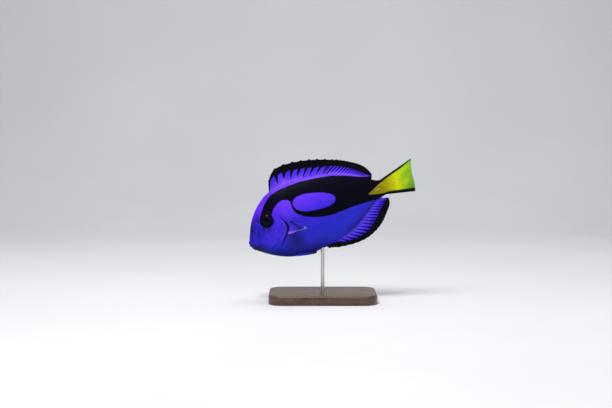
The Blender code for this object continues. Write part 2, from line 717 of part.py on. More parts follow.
def stand():
    """A bevelled base with round corners, and one rod set into it."""
    shape = bmesh.new()
    corner_steps = 6
    outline = []
    for quarter in range(4):
        along_x = 1 if quarter in (0, 3) else -1
        along_y = 1 if quarter in (0, 1) else -1
        centre = Vector((along_x * (BASE_LENGTH / 2 - BASE_CORNER),
                         along_y * (BASE_WIDTH / 2 - BASE_CORNER), 0))
        for step in range(corner_steps + 1):
            angle = math.pi / 2 * (quarter + step / corner_steps)
            outline.append(shape.verts.new(centre + BASE_CORNER
                                           * Vector((math.cos(angle), math.sin(angle), 0))))
    bottom = shape.faces.new(outline)
    raised = bmesh.ops.extrude_face_region(shape, geom=[bottom])["geom"]
    top_verts = [item for item in raised if isinstance(item, bmesh.types.BMVert)]
    bmesh.ops.translate(shape, verts=top_verts, vec=(0, 0, BASE_THICKNESS))
    bmesh.ops.recalc_face_normals(shape, faces=shape.faces)
    top_edges = [edge for edge in shape.edges if all(v.co.z > BASE_THICKNESS / 2 for v in edge.verts)]
    bmesh.ops.bevel(shape, geom=top_edges, offset=BASE_BEVEL, segments=2, affect="EDGES", profile=0.5)
    mesh = bpy.data.meshes.new("stand_base")
    shape.to_mesh(mesh)
    shape.free()
    base = bpy.data.objects.new("stand_base", mesh)
    bpy.context.scene.collection.objects.link(base)
    face_outwards(base)
    foot = BASE_THICKNESS - ROD_BASE_DEPTH
    hole = rod_like("cutter", (0, 0, foot - GAP), (0, 0, 2 * BASE_THICKNESS), ROD_RADIUS + GAP, ROD_SIDES)
    boolean(base, hole, "DIFFERENCE")
    finish(base, "stand_base", "walnut")
    rod = rod_like("stand_rod", (0, 0, foot), (0, 0, rod_top()), ROD_RADIUS, ROD_SIDES)
    finish(rod, "stand_rod", "steel", 60)


def main():
    for obj in list(bpy.data.objects):
        bpy.data.objects.remove(obj)
    fish = bpy.data.objects.new("fish", None)
    bpy.context.scene.collection.objects.link(fish)
    fish.location = snout_place()
    fish.rotation_euler = (0, -PITCH, 0)
    head_and_jaw(fish)
    trunk_and_stalk(fish)
    dorsal_rays = ray_columns(DORSAL_SPINES, DORSAL_RAYS, DORSAL_SPINE_GAP, DORSAL_CROWDING)
    finish(midline_fin("dorsal_fin", fish, back, DORSAL_ROOT, DORSAL_EDGE, DORSAL_LEAN, dorsal_rays),
           "dorsal_fin", "blue_fin")
    anal_rays = ray_columns(ANAL_SPINES, ANAL_RAYS, ANAL_SPINE_GAP)
    finish(midline_fin("anal_fin", fish, belly, ANAL_ROOT, ANAL_EDGE, ANAL_LEAN, anal_rays),
           "anal_fin", "blue_fin")
    finish(tail_fin("tail_fin", fish), "tail_fin", "yellow_fin")
    for name, side in BOTH_SIDES:
        finish(paired_fin(f"pectoral_fin_{name}", fish, side, PECTORAL_ROOT, PECTORAL_EDGE, PECTORAL_RAYS,
                          PECTORAL_BOW, PECTORAL_HALF, PECTORAL_RIDGE), f"pectoral_fin_{name}", "blue_fin")
        finish(paired_fin(f"pelvic_fin_{name}", fish, side, PELVIC_ROOT, PELVIC_EDGE, PELVIC_RAYS,
                          PELVIC_BOW, PELVIC_HALF, PELVIC_RIDGE), f"pelvic_fin_{name}", "blue_fin")
    stand()


main()
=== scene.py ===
from math import cos, pi, radians, sin

import bmesh
import bpy
import numpy as np
from mathutils import Matrix, Vector


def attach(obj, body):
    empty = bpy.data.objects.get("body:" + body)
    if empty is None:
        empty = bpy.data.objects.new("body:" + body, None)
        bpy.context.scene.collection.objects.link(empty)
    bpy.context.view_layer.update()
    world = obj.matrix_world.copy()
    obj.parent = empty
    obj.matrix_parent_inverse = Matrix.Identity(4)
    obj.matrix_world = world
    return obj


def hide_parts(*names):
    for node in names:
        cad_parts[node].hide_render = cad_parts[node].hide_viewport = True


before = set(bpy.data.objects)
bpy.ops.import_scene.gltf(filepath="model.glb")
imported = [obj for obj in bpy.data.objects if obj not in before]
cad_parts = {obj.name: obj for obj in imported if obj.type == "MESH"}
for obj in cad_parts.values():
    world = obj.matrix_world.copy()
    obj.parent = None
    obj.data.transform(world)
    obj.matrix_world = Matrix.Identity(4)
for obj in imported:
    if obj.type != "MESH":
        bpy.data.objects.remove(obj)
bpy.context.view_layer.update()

# The fish as in its solids: u runs from snout to tail root and v upwards, both as shares of the
# standard length, LENGTH, in a frame tipped nose down. Thicknesses and distances are in metres.
LENGTH = 0.1243
PITCH = radians(22.9)
BASE_LENGTH, BASE_WIDTH, BASE_THICKNESS = 0.092, 0.058, 0.008
BASE_CORNER, BASE_BEVEL, BASE_CHAMFER = 0.012, 0.0015, 0.0004
BELLY_CLEARANCE = 0.03
ROD_RADIUS, ROD_CLEARANCE, HOLE_DEPTH = 0.0016, 0.00015, 0.002
ROD_U = 0.452

BACK = [
    (0, -0.012), (0.0355, 0.0675), (0.098, 0.1605), (0.142, 0.2025), (0.19, 0.2375), (0.252, 0.266),
    (0.35, 0.2735), (0.46, 0.2745), (0.56, 0.263), (0.657, 0.239), (0.76, 0.196), (0.86, 0.139),
    (0.93, 0.088), (0.975, 0.0565), (1.01, 0.048), (1.06, 0.05)]
BELLY = [
    (0, -0.012), (0.008, -0.039), (0.022, -0.062), (0.0486, -0.087), (0.08, -0.113), (0.1157, -0.14),
    (0.1744, -0.1757), (0.2288, -0.2005), (0.2862, -0.2183), (0.3542, -0.2325), (0.43, -0.2345),
    (0.52, -0.229), (0.62, -0.214), (0.7, -0.192), (0.7963, -0.149), (0.859, -0.113), (0.92, -0.08),
    (0.97, -0.063), (1.01, -0.058), (1.06, -0.059)]
HALF_WIDTH = [
    (0, 0.023), (0.02, 0.029), (0.05, 0.037), (0.1, 0.048), (0.17, 0.062), (0.25, 0.0735), (0.33, 0.0785),
    (0.42, 0.078), (0.52, 0.072), (0.63, 0.06), (0.75, 0.0445), (0.86, 0.031), (0.93, 0.024), (0.985, 0.02),
    (1.06, 0.017)]
WIDEST_AT, SECTION_POWER = 0.47, 1.22
SNOUT_TIP, SNOUT_ROUND, SNOUT_LENGTH, SNOUT_WIDTH_RUN = -0.012, 0.022, 0.008, 0.006
GILL_EDGE = [
    (0.236, 0.36), (0.254, 0.17), (0.272, 0.079), (0.2925, 0.02), (0.262, -0.041), (0.222, -0.078),
    (0.178, -0.125), (0.156, -0.28)]
GILL_LIFT, GILL_LIFT_RUN = 0.001, 0.05
GILL_SINK, GILL_SINK_RUN = 0.0007, 0.022
GILL_ROLL, GILL_ROLL_RUN = 0.00035, 0.01
GILL_OPENING, GILL_FADES = (-0.135, 0.105), (0.08, 0.03)
GILL_COLUMN, GILL_PULL = 0.27, (0.02, 0.56)
SKIN_END = 1.075
CHEEK_RIDGE = [(0.212, 0.135), (0.232, 0.07), (0.222, 0), (0.18, -0.065), (0.115, -0.088)]
CHEEK_HEIGHT, CHEEK_SIZE, CHEEK_FADE = 0.0005, 0.012, (-0.235, -0.1)
MOUTH_LINE = [(-0.05, -0.001), (-0.004, -0.0105), (0.013, -0.019), (0.029, -0.033)]
MOUTH_CORNER = 0.029
NOSTRILS = [((0.0935, 0.1035), 0.0005), ((0.1085, 0.1135), 0.00065)]
NOSTRIL_RIM, NOSTRIL_DEPTH = 0.00022, 0.0008
# Height of each lip, of the crease round the lips and of the slit, its distance from the mouth line
# and its width
LIP_PROFILE = [(0.00056, 0.00105, 0.00095), (-0.00012, 0.003, 0.0008), (-0.0009, 0, 0.00024)]

EYE_CENTRE = (0.1765, 0.1)
EYE_RADIUS = 0.045
EYE_HALF_DEPTH, EYE_PROUD = 0.0032, 0.0015
EYE_TURN = (radians(8), radians(11))
EYE_RIM, EYE_RIM_AT, EYE_RIM_RUN, EYE_TUCK = 0.00048, 0.0425, 0.007, 0.0011
CORNEA = 0.09

# Where each midline fin's root starts and ends, its edge, the lean of its rays, its spines and soft
# rays with the spines' gap and the rays' crowding, and its black margin's width along the root
DORSAL = (
    (0.262, 0.945),
    [(0.287, 0.337), (0.339, 0.3915), (0.454, 0.403), (0.61, 0.3655), (0.765, 0.3), (0.88, 0.228),
     (0.938, 0.169), (0.9625, 0.108)],
    0.29, (9, 19, 2.82, 0.55),
    [(0, 0.004), (0.04, 0.012), (0.1, 0.036), (0.16, 0.055), (0.42, 0.057), (0.52, 0.053), (0.62, 0.0425),
     (0.86, 0.0455), (0.93, 0.036), (1, 0.01)])
ANAL = (
    (0.484, 0.956),
    [(0.495, -0.248), (0.56, -0.269), (0.65, -0.286), (0.74, -0.288), (0.83, -0.266), (0.905, -0.223),
     (0.965, -0.166), (1.001, -0.118), (1.006, -0.085)],
    0.4, (3, 18, 1.2, 0.32),
    [(0, 0.03), (0.12, 0.036), (0.22, 0.031), (0.3, 0.03), (0.46, 0.038), (0.66, 0.051), (0.82, 0.046),
     (0.93, 0.036), (1, 0.007)])
FIRST_GAP = 1.5
TAIL_FIN_ROOT = [(0.985, 0.0462), (0.992, -0.004), (0.985, -0.053)]
TAIL_FIN_EDGE = [
    (1.25, 0.1035), (1.231, 0.057), (1.2195, 0.013), (1.2122, -0.036), (1.2035, -0.085), (1.192, -0.1165)]
TAIL_FIN_RAYS = 16
# Each paired fin's root and edge, its rays and how far it bows out
PECTORAL = (
    [(0.319, 0.036, 0.062), (0.27, -0.044, 0.062)],
    [(0.4097, -0.0296, 0.29), (0.412, -0.039, 0.245), (0.4, -0.043, 0.2), (0.364, -0.043, 0.15)],
    12, 0.0022)
PELVIC = (
    [(0.28, -0.204, 0.026), (0.29, -0.214, 0.009)],
    [(0.41, -0.231, 0.036), (0.405, -0.24, 0.023), (0.395, -0.244, 0.011)],
    4, -0.0006)
TAIL_SPINE = [(0.93, -0.006), (0.985, -0.006)]
TAIL_SPINE_HEIGHT, TAIL_SPINE_THICKNESS, TAIL_SPINE_PROUD = 0.0017, 0.0012, 0.0005
GROOVE_DEPTH, GROOVE_WIDTH = 0.00045, 0.0011
BOTH_SIDES = (("left", -1), ("right", 1))

# Half the membrane's thickness and the height of its rays, each at the root and the edge, and how
# far the root goes into the body
MIDLINE_FIN_FORM = (0.00062, 0.00016), (0.00036, 0.00008), 0.003
TAIL_FIN_FORM = (0.00125, 0.00014), (0.00042, 0.00009), 0.002
PECTORAL_FORM = (0.0007, 0.00014), (0.00024, 0.00007), 0.0012
PELVIC_FORM = (0.0006, 0.00018), (0.00026, 0.00009), 0.0012
RIPPLE, TAIL_RIPPLE = (0.0004, 23, 2.5), (0.00016, 17, 3)
# The rays' widths and where their forks start and end, as shares of a gap and of the fin's depth
SPINE_SPREAD, RAY_SPREAD, FORK_SPREAD, FORK_RUN = 0.1, 0.2, 0.21, (0.35, 0.85)
SPINE_REACH, RAY_REACH = 0.001, 0.0004

# The black band from the eye along the back to the tail, the blue oval in it, and the yellow wedge
BAND = [
    (0.13, 0.118), (0.16, 0.16), (0.198, 0.201), (0.234, 0.23), (0.271, 0.249), (0.33, 0.2578),
    (0.402, 0.2578), (0.488, 0.2545), (0.599, 0.2338), (0.707, 0.2068), (0.8075, 0.162), (0.856, 0.1357),
    (0.906, 0.1128), (0.946, 0.1003), (1.1, 0.095), (1.1, -0.0661), (0.982, -0.0661), (0.917, -0.0645),
    (0.847, -0.0537), (0.759, -0.044), (0.621, -0.0414), (0.552, -0.029), (0.487, -0.0063), (0.426, 0.025),
    (0.386, 0.0623), (0.371, 0.0919), (0.373, 0.1284), (0.374, 0.1593), (0.356, 0.176), (0.33, 0.1845),
    (0.307, 0.1836), (0.274, 0.17), (0.243, 0.1468), (0.226, 0.123), (0.2215, 0.109), (0.226, 0.095),
    (0.2235, 0.076), (0.207, 0.0575), (0.182, 0.046), (0.157, 0.047), (0.138, 0.062), (0.127, 0.082),
    (0.125, 0.101)]
OVAL = [
    (0.39, 0.154), (0.381, 0.126), (0.391, 0.092), (0.42, 0.066), (0.463, 0.047), (0.522, 0.034),
    (0.582, 0.025), (0.636, 0.0275), (0.669, 0.044), (0.673, 0.07), (0.65, 0.097), (0.6, 0.128),
    (0.551, 0.147), (0.484, 0.167), (0.424, 0.17)]
WEDGE = [
    (0.884, -0.0095), (0.915, 0.0035), (0.969, 0.024), (1.055, 0.048), (1.158, 0.0695), (1.3, 0.112),
    (1.3, -0.11), (1.201, -0.092), (1.118, -0.07), (1.035, -0.0465), (0.979, -0.0415), (0.929, -0.0265),
    (0.895, -0.0155)]
OVAL_SOFTNESS, WEDGE_SOFTNESS = 0.013, 0.006

# The painted shade in the slit behind the gill cover: the heights where it ends, its width and its swelling
SLIT_LOW_END, SLIT_HIGH_END = (-0.078, -0.055), (0.1, 0.03)
SLIT_WIDTH, SLIT_SWELL, SLIT_SOFT = 0.0008, 0.001, 0.0005
# The freckles of the snout and below the eye, and the shade under the fin: middle, size and slant
SNOUT_FRECKLES = (0.088, 0.06), (0.07, 0.105), 0.6
EYE_FRINGE = (0.14, 0.044), (0.05, 0.034)
FIN_SHADE = (0.308, -0.112), (0.062, 0.085)

# Colours as linear red, green and blue, and ramps of them
VIOLET, BLUE, DEEP_BLUE = (0.15, 0.04, 0.93), (0.046, 0.024, 0.74), (0.02, 0.02, 0.62)
SHADE_BLUE, SNOUT_BLUE, CHEEK_BLUE = (0.008, 0.009, 0.17), (0.022, 0.01, 0.48), (0.095, 0.03, 1)
BLACK, UPPER_BLACK, FIN_BLACK = (0.0011, 0.0011, 0.0056), (0.0017, 0.0017, 0.0092), (0.0014, 0.0014, 0.0034)
FRECKLE_BLUE, FRECKLE_BLACK = (0.016, 0.008, 0.42), (0.006, 0.004, 0.09)
LIP_BLUE, CHIN_SHADE, RECESS_SHADE = (0.01, 0.006, 0.11), (0.004, 0.003, 0.03), (0.002, 0.002, 0.01)
FLANK_TONES = [(0, (0.026, 0.032, 0.76)), (0.3, DEEP_BLUE), (0.62, BLUE), (0.92, VIOLET)]
FACE_TONES = [(0, (0.03, 0.012, 0.6)), (0.45, (0.05, 0.014, 0.76)), (1, (0.15, 0.02, 0.95))]
WEDGE_TONES = ((0.24, 0.2, 0.005), (0.33, 0.28, 0.004), (0.57, 0.54, 0.002))
TAIL_TONES = [
    (0, (0.3, 0.25, 0.004)), (0.28, (0.56, 0.52, 0.002)), (0.52, (0.68, 0.78, 0.002)),
    (0.8, (0.43, 0.69, 0.006)), (1, (0.2, 0.56, 0.01))]
TAIL_DULL = (0.12, 0.27, 0.03)
PECTORAL_BLUES = ((0.06, 0.032, 0.74), (0.085, 0.055, 0.9))
PECTORAL_SHADOW_LINE, PECTORAL_TIP = (0.006, 0.004, 0.07), (0.29, 0.54, 0.01)
PECTORAL_EDGE_HIGHLIGHT, PELVIC_EDGE_TONE = (0.44, 0.18, 1), (0.008, 0.008, 0.08)
IRIS_TONES = [(0.3, (0.0014, 0.0014, 0.005)), (0.7, (0.0042, 0.0036, 0.017))]
EYE_RIM_TONE, PUPIL_RING, PUPIL = (0.004, 0.004, 0.012), (0.014, 0.01, 0.036), (0.0015, 0.0015, 0.0025)
BONE = ((0.4, 0.35, 0.03), (0.3, 0.26, 0.01))
WALNUT_TONES = [
    (0.32, (0.046, 0.022, 0.011)), (0.46, (0.115, 0.06, 0.03)), (0.55, (0.076, 0.038, 0.019)),
    (0.68, (0.15, 0.085, 0.044))]
# For each midline fin's material: its blues, base line and gap, and the runs of the gap and streaks
DORSAL_LOOK = (
    ((0.085, 0.032, 0.96), (0.16, 0.062, 1), (0.36, 0.13, 1)), (0.66, 0.98), (0.018, 0.004, 0.34),
    (0.58, 0.68), 0.92, 1)
ANAL_LOOK = (
    ((0.06, 0.016, 0.9), (0.135, 0.064, 1), (0.075, 0.054, 0.78)), (0.55, 0.95), (0.009, 0.005, 0.21),
    (0, 0.05), 0.6, 0.72)
SCALES = 2600
FACE_LINES = radians(-42)

# How the skin's stations are spread, and the corners of a quad in a grid
ROUND, NOSE_RINGS, FACE_RINGS, BODY_RINGS = 236, 92, 62, 180
NOSE_END, FACE_END, NECK, BODY_GAP = 0.115, 0.248, 0.253, 0.02
GILL_STEPS = np.array([-12, -8, -5, -3, -1.6, -0.7, 0, 0.15, 0.6, 1.4, 2.6, 4.2, 6.5, 9, 12, 16]) * 0.001
QUAD = ((0, 0), (1, 0), (1, 1), (0, 1))

# Each light's name, place, aim, diameter and power
LIGHTS = (
    ("key", (-0.25, -0.45, 0.95), (0, 0, 0.1), 0.4, 9.5), ("top", (0.15, 0.15, 1.1), (0, 0, 0.1), 0.7, 5),
    ("fill", (0.55, -0.95, 0.35), (0, 0, 0.08), 0.9, 2.2))
PHOTO_SIZE = (612, 408)
SNOUT_PIXEL = (248.9, 243)
METRES_PER_PIXEL = 0.8545e-3
CAMERA_LENS, SENSOR = 70, 36
CAMERA_TILT = radians(4.5)


# Shapes shared by the skin and the fins

def spline(points):
    """A natural cubic through the points, as a function of their first value."""
    x, y = (np.array(column, float) for column in zip(*points))
    n = len(x)
    h = np.diff(x)
    system = np.eye(n)
    right = np.zeros(n)
    for i in range(1, n - 1):
        system[i, i - 1:i + 2] = h[i - 1], 2 * (h[i - 1] + h[i]), h[i]
        right[i] = 6 * ((y[i + 1] - y[i]) / h[i] - (y[i] - y[i - 1]) / h[i - 1])
    bend = np.linalg.solve(system, right)

    def value(at):
        at = np.asarray(at, float)
        i = np.clip(np.searchsorted(x, at) - 1, 0, n - 2)
        a, b = x[i + 1] - at, at - x[i]
        return (bend[i] * a**3 + bend[i + 1] * b**3) / (6 * h[i]) \
            + (y[i] / h[i] - bend[i] * h[i] / 6) * a + (y[i + 1] / h[i] - bend[i + 1] * h[i] / 6) * b

    return value


def reached(points):
    """The length of the path up to each of its points."""
    return np.append(0, np.cumsum(np.linalg.norm(np.diff(points, axis=0), axis=1)))


def along(points):
    """A smooth path through the points, as a function from 0 to 1 of the share of its length."""
    knots = np.array(points, float)
    share = reached(knots) / reached(knots)[-1]
    axes = [spline(list(zip(share, column))) for column in knots.T]
    return lambda t: np.stack([axis(t) for axis in axes], axis=-1)


back, belly, half_width = spline(BACK), spline(BELLY), spline(HALF_WIDTH)
mouth_line = spline(MOUTH_LINE)
gill_path = along(GILL_EDGE)(np.linspace(0, 1, 40))
cheek_path = along(CHEEK_RIDGE)(np.linspace(0, 1, 30))


def ease(low, high, value):
    """0 below low, 1 above high, and smooth between; low may be the larger."""
    t = np.clip((np.asarray(value, float) - low) / (high - low), 0, 1)
    return t * t * (3 - 2 * t)


def bump(x):
    return np.exp(-np.asarray(x, float) ** 2)


def snout_bulge(u):
    u = np.maximum(u, 0)
    return SNOUT_ROUND * np.sqrt(u / SNOUT_LENGTH) * np.exp(-u / SNOUT_LENGTH)


def body_top(u):
    return back(u) + snout_bulge(u)


def body_bottom(u):
    return belly(u) - snout_bulge(u)


def body_half(u):
    """Half the body's width; past the tail root the flesh thins out over the tail fin."""
    thinned = 1 - 0.8 * ease(0.97, SKIN_END, u)
    return half_width(u) * np.sqrt(1 - np.exp(-np.maximum(u, 0) / SNOUT_WIDTH_RUN)) * thinned


def widest_line(u):
    return body_bottom(u) + WIDEST_AT * (body_top(u) - body_bottom(u))


def gill_edge(v):
    return np.interp(-np.asarray(v, float), -gill_path[:, 1], gill_path[:, 0])


def above_mouth(u, v):
    return v - mouth_line(np.clip(u, MOUTH_LINE[0][0], MOUTH_CORNER))


def from_spot(u, v, spot):
    return np.hypot(u - spot[0], v - spot[1])


def from_patch(u, v, middle, size, slant=0):
    """0 in the middle of an oval patch and 1 at its edge."""
    du, dv = u - middle[0], v - middle[1]
    return np.hypot(du / size[0], (dv - slant * du) / size[1])


def section(u, turn):
    """Height and distance from the midline of the plain body at u, round the section by turn."""
    middle = widest_line(u)
    rise = np.sin(turn)
    v = middle + np.where(rise > 0, body_top(u) - middle, middle - body_bottom(u)) * rise
    out = body_half(u) * LENGTH * np.abs(np.cos(turn)) ** SECTION_POWER
    return v, out * np.sign(np.cos(turn))


def surface_out(u, v):
    middle = widest_line(u)
    reach = np.where(v > middle, body_top(u) - middle, middle - body_bottom(u))
    share = np.minimum(np.abs(v - middle) / reach, 1)
    return body_half(u) * LENGTH * (1 - share**2) ** (SECTION_POWER / 2)


def distance_to(path, u, v):
    """Distance from each point to a path of close points, taken a few rows at a time."""
    u, v = np.broadcast_arrays(u, v)
    found = np.empty(u.size)
    flat_u, flat_v = u.ravel(), v.ravel()
    for start in range(0, u.size, 20000):
        part = slice(start, start + 20000)
        gaps = np.hypot(flat_u[part, None] - path[:, 0], flat_v[part, None] - path[:, 1])
        found[part] = gaps.min(axis=1)
    return found.reshape(u.shape)


def outline(points, softness, count=900):
    """The polygon through the points with its corners rounded off over a length."""
    ring = np.array(points + points[:1])
    at = reached(ring)
    length = at[-1]
    path = np.stack([np.interp(np.arange(count) / count * length, at, column) for column in ring.T], axis=1)
    waves = np.fft.fftfreq(count, d=length / count)
    damped = np.fft.fft(path, axis=0) * np.exp(-2 * (pi * waves * softness) ** 2)[:, None]
    return np.fft.ifft(damped, axis=0).real


def signed_distance(points, u, v, softness=0.007):
    """Metres to a closed outline, less than zero inside it."""
    path = outline(points, softness)
    crossings = np.zeros(np.shape(u), int)
    for (u0, v0), (u1, v1) in zip(path, np.roll(path, -1, axis=0)):
        spans = (v0 > v) != (v1 > v)
        crossings += spans & (u < u0 + (v - v0) * (u1 - u0) / (v1 - v0 + 1e-12))
    away = distance_to(path, u, v) * LENGTH
    return np.where(crossings % 2 == 1, -away, away)


def tipped(u, v):
    x = u * cos(PITCH) - v * sin(PITCH)
    z = u * sin(PITCH) + v * cos(PITCH)
    return x * LENGTH, z * LENGTH


def snout_place():
    rod_x, _ = tipped(ROD_U, body_bottom(ROD_U))
    belly_line = np.linspace(0, 1, 201)
    lowest = tipped(belly_line, body_bottom(belly_line))[1].min()
    return Vector((-rod_x, 0, BASE_THICKNESS + BELLY_CLEARANCE - lowest))


SNOUT = snout_place()
TO_ROW = Matrix.Translation(SNOUT) @ Matrix.Rotation(-PITCH, 4, "Y")


# Meshes

def add_object(name, data):
    obj = bpy.data.objects.new(name, data)
    bpy.context.scene.collection.objects.link(obj)
    return obj


def make_piece(name, points, faces, loop_uvs, attributes, node_names, in_fish=True):
    """A piece of the fish from points in its own frame, with its bake map and painted values."""
    mesh = bpy.data.meshes.new(name)
    mesh.from_pydata(np.asarray(points).tolist(), [], faces)
    if in_fish:
        mesh.transform(TO_ROW)
    if loop_uvs is not None:
        layer = mesh.uv_layers.new(name="OFBake")
        layer.uv.foreach_set("vector", np.asarray(loop_uvs, np.float32).ravel())
    for label, values in attributes.items():
        made = mesh.attributes.new(label, "FLOAT", "POINT")
        made.data.foreach_set("value", np.asarray(values, np.float32).ravel())
    mesh.validate()
    mesh.shade_smooth()
    turn_outwards(mesh)
    obj = add_object(name, mesh)
    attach(obj, "root")
    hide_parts(*node_names)
    return obj


def turn_outwards(mesh):
    shape = bmesh.new()
    shape.from_mesh(mesh)
    bmesh.ops.recalc_face_normals(shape, faces=shape.faces)
    shape.to_mesh(mesh)
    shape.free()


def unit(vectors):
    return vectors / np.maximum(np.linalg.norm(vectors, axis=-1, keepdims=True), 1e-12)


def grid(first, second):
    """The places of a grid's quads along its two axes."""
    places = np.meshgrid(np.arange(first), np.arange(second), indexing="ij")
    return [place.ravel() for place in places]


def grid_uvs(c, r, low, step):
    """The corners of a grid's quads on the bake map, from low by a step along each axis."""
    corners = [
        np.stack([low[0] + step[0] * (c + dc), low[1] + step[1] * (r + dr)], axis=1) for dc, dr in QUAD]
    return np.stack(corners, axis=1)


def ring_faces(rings, around):
    """The quads between rings of points that follow each other."""
    return [tuple((r + dr) * around + (c + dc) % around for dc, dr in QUAD)
            for r in range(rings - 1) for c in range(around)]


def capped_faces(rings, around):
    """The quads between rings of points, and a face over each end."""
    last = (rings - 1) * around
    return ring_faces(rings, around) + [tuple(range(around)), tuple(range(last, last + around))]


def skin_columns():
    """Stations along the fish, closer at the mouth, round the eye and at the gill cover's edge."""
    nose = NOSE_END * (np.arange(1, NOSE_RINGS + 1) / NOSE_RINGS) ** 2
    face = np.linspace(NOSE_END, FACE_END, FACE_RINGS + 1)[1:]
    body = np.linspace(GILL_COLUMN + BODY_GAP, SKIN_END, BODY_RINGS)
    return np.concatenate([nose, face, [NECK], GILL_COLUMN + GILL_STEPS, body])


def broad_relief(u, v, behind):
    """The raised gill cover, the flesh behind it and the cheek's ridge, as in the solids."""
    low, high = GILL_OPENING
    window = ease(low, low + GILL_FADES[0], v) * np.clip((high - v) / GILL_FADES[1], 0, 1)
    edge = gill_edge(v)
    sunk = -GILL_SINK * np.exp(-np.maximum(u - edge, 0) / GILL_SINK_RUN)
    lift = GILL_LIFT * np.clip(1 - (edge - u) / GILL_LIFT_RUN, 0, 1) ** 2
    rolled = lift - GILL_ROLL * ease(GILL_ROLL_RUN, 0, edge - u)
    cheek = CHEEK_HEIGHT * bump(distance_to(cheek_path, u, v) / CHEEK_SIZE)
    cheek *= ease(*CHEEK_FADE, v)
    return np.where(behind, sunk * window, rolled * window + cheek)


def lip_relief(u, v):
    """The lips either side of the mouth line, and the slit between them."""
    from_line = np.abs(above_mouth(u, v) * LENGTH)
    profile = sum(height * bump((from_line - at) / size) for height, at, size in LIP_PROFILE)
    return profile * ease(MOUTH_CORNER + 0.003, MOUTH_CORNER - 0.02, u)


def eye_relief(u, v):
    """A low rim round each eye, and the skin tucked under the eyeball inside it."""
    away = from_spot(u, v, EYE_CENTRE)
    outside = bump((away - EYE_RIM_AT) / EYE_RIM_RUN)
    rim = EYE_RIM * np.where(away > EYE_RIM_AT, outside, ease(0.0345, EYE_RIM_AT, away))
    return rim - EYE_TUCK * ease(0.04, 0.032, away)


def nostril_relief(u, v):
    total = np.zeros(np.shape(u))
    for spot, radius in NOSTRILS:
        away = from_spot(u, v, spot) * LENGTH
        rim = NOSTRIL_RIM * bump((away - radius * 1.5) / (radius * 0.6))
        total += rim - NOSTRIL_DEPTH * bump(away / (radius * 0.8))
    return total


def spine_groove(u, v):
    path = np.linspace(*TAIL_SPINE, 20)
    return -GROOVE_DEPTH * bump(distance_to(path, u, v) * LENGTH / GROOVE_WIDTH)


def grid_normals(points):
    """Outward normals of a grid of points that closes round its second axis."""
    round_way = np.roll(points, -1, axis=1) - np.roll(points, 1, axis=1)
    normal = unit(np.cross(round_way, np.gradient(points, axis=0)))
    return normal if (normal[..., 1] * points[..., 1]).sum() > 0 else -normal


def skin_mesh():
    """Each skin point's share along and height, and the skin's points, faces and bake map."""
    nominal = skin_columns()[:, None]
    turn = (-pi / 2 + 2 * pi * (np.arange(ROUND) + 0.5) / ROUND)[None, :]
    ahead = ease(GILL_PULL[0], GILL_COLUMN, nominal)
    pull = np.where(nominal < GILL_COLUMN, ahead, ease(GILL_PULL[1], GILL_COLUMN, nominal))
    u = nominal + 0 * turn
    for _ in range(12):
        v, y = section(u, turn)
        u = nominal + pull * (gill_edge(v) - GILL_COLUMN)
    v, y = section(u, turn)
    side = np.sign(np.cos(turn))
    fullness = np.minimum(1, 3 * np.abs(np.cos(turn)) ** SECTION_POWER)
    y = y + side * broad_relief(u, v, nominal > GILL_COLUMN) * fullness
    points = np.stack([u * LENGTH, y, v * LENGTH], axis=2)
    fine = lip_relief(u, v) + eye_relief(u, v) + nostril_relief(u, v) + spine_groove(u, v)
    points = points + grid_normals(points) * fine[..., None]
    rings, columns = u.shape
    tip = np.array([[0, 0, SNOUT_TIP * LENGTH]])
    r, c = grid(rings - 1, columns)
    quads = np.array(ring_faces(rings, columns)) + 1
    across, down = 0.98 / columns, 0.96 / rings
    quad_uvs = grid_uvs(c, r, (0.01, 0.02), (across, down))
    fan = [(0, 1 + (i + 1) % columns, 1 + i) for i in range(columns)]
    fan_uvs = [[(0.01 + across * (i + 0.5), 0.005), (0.01 + across * (i + 1), 0.02),
                (0.01 + across * i, 0.02)] for i in range(columns)]
    last = 1 + (rings - 1) * columns
    cap = tuple(range(last, last + columns))
    cap_uvs = [
        (0.5 + 0.009 * cos(a), 0.989 + 0.009 * sin(a)) for a in 2 * pi * np.arange(columns) / columns]
    uvs = np.concatenate([np.ravel(part) for part in (quad_uvs, fan_uvs, cap_uvs)])
    points = np.concatenate([tip, points.reshape(-1, 3)])
    return u, v, points, quads.tolist() + fan + [cap], uvs


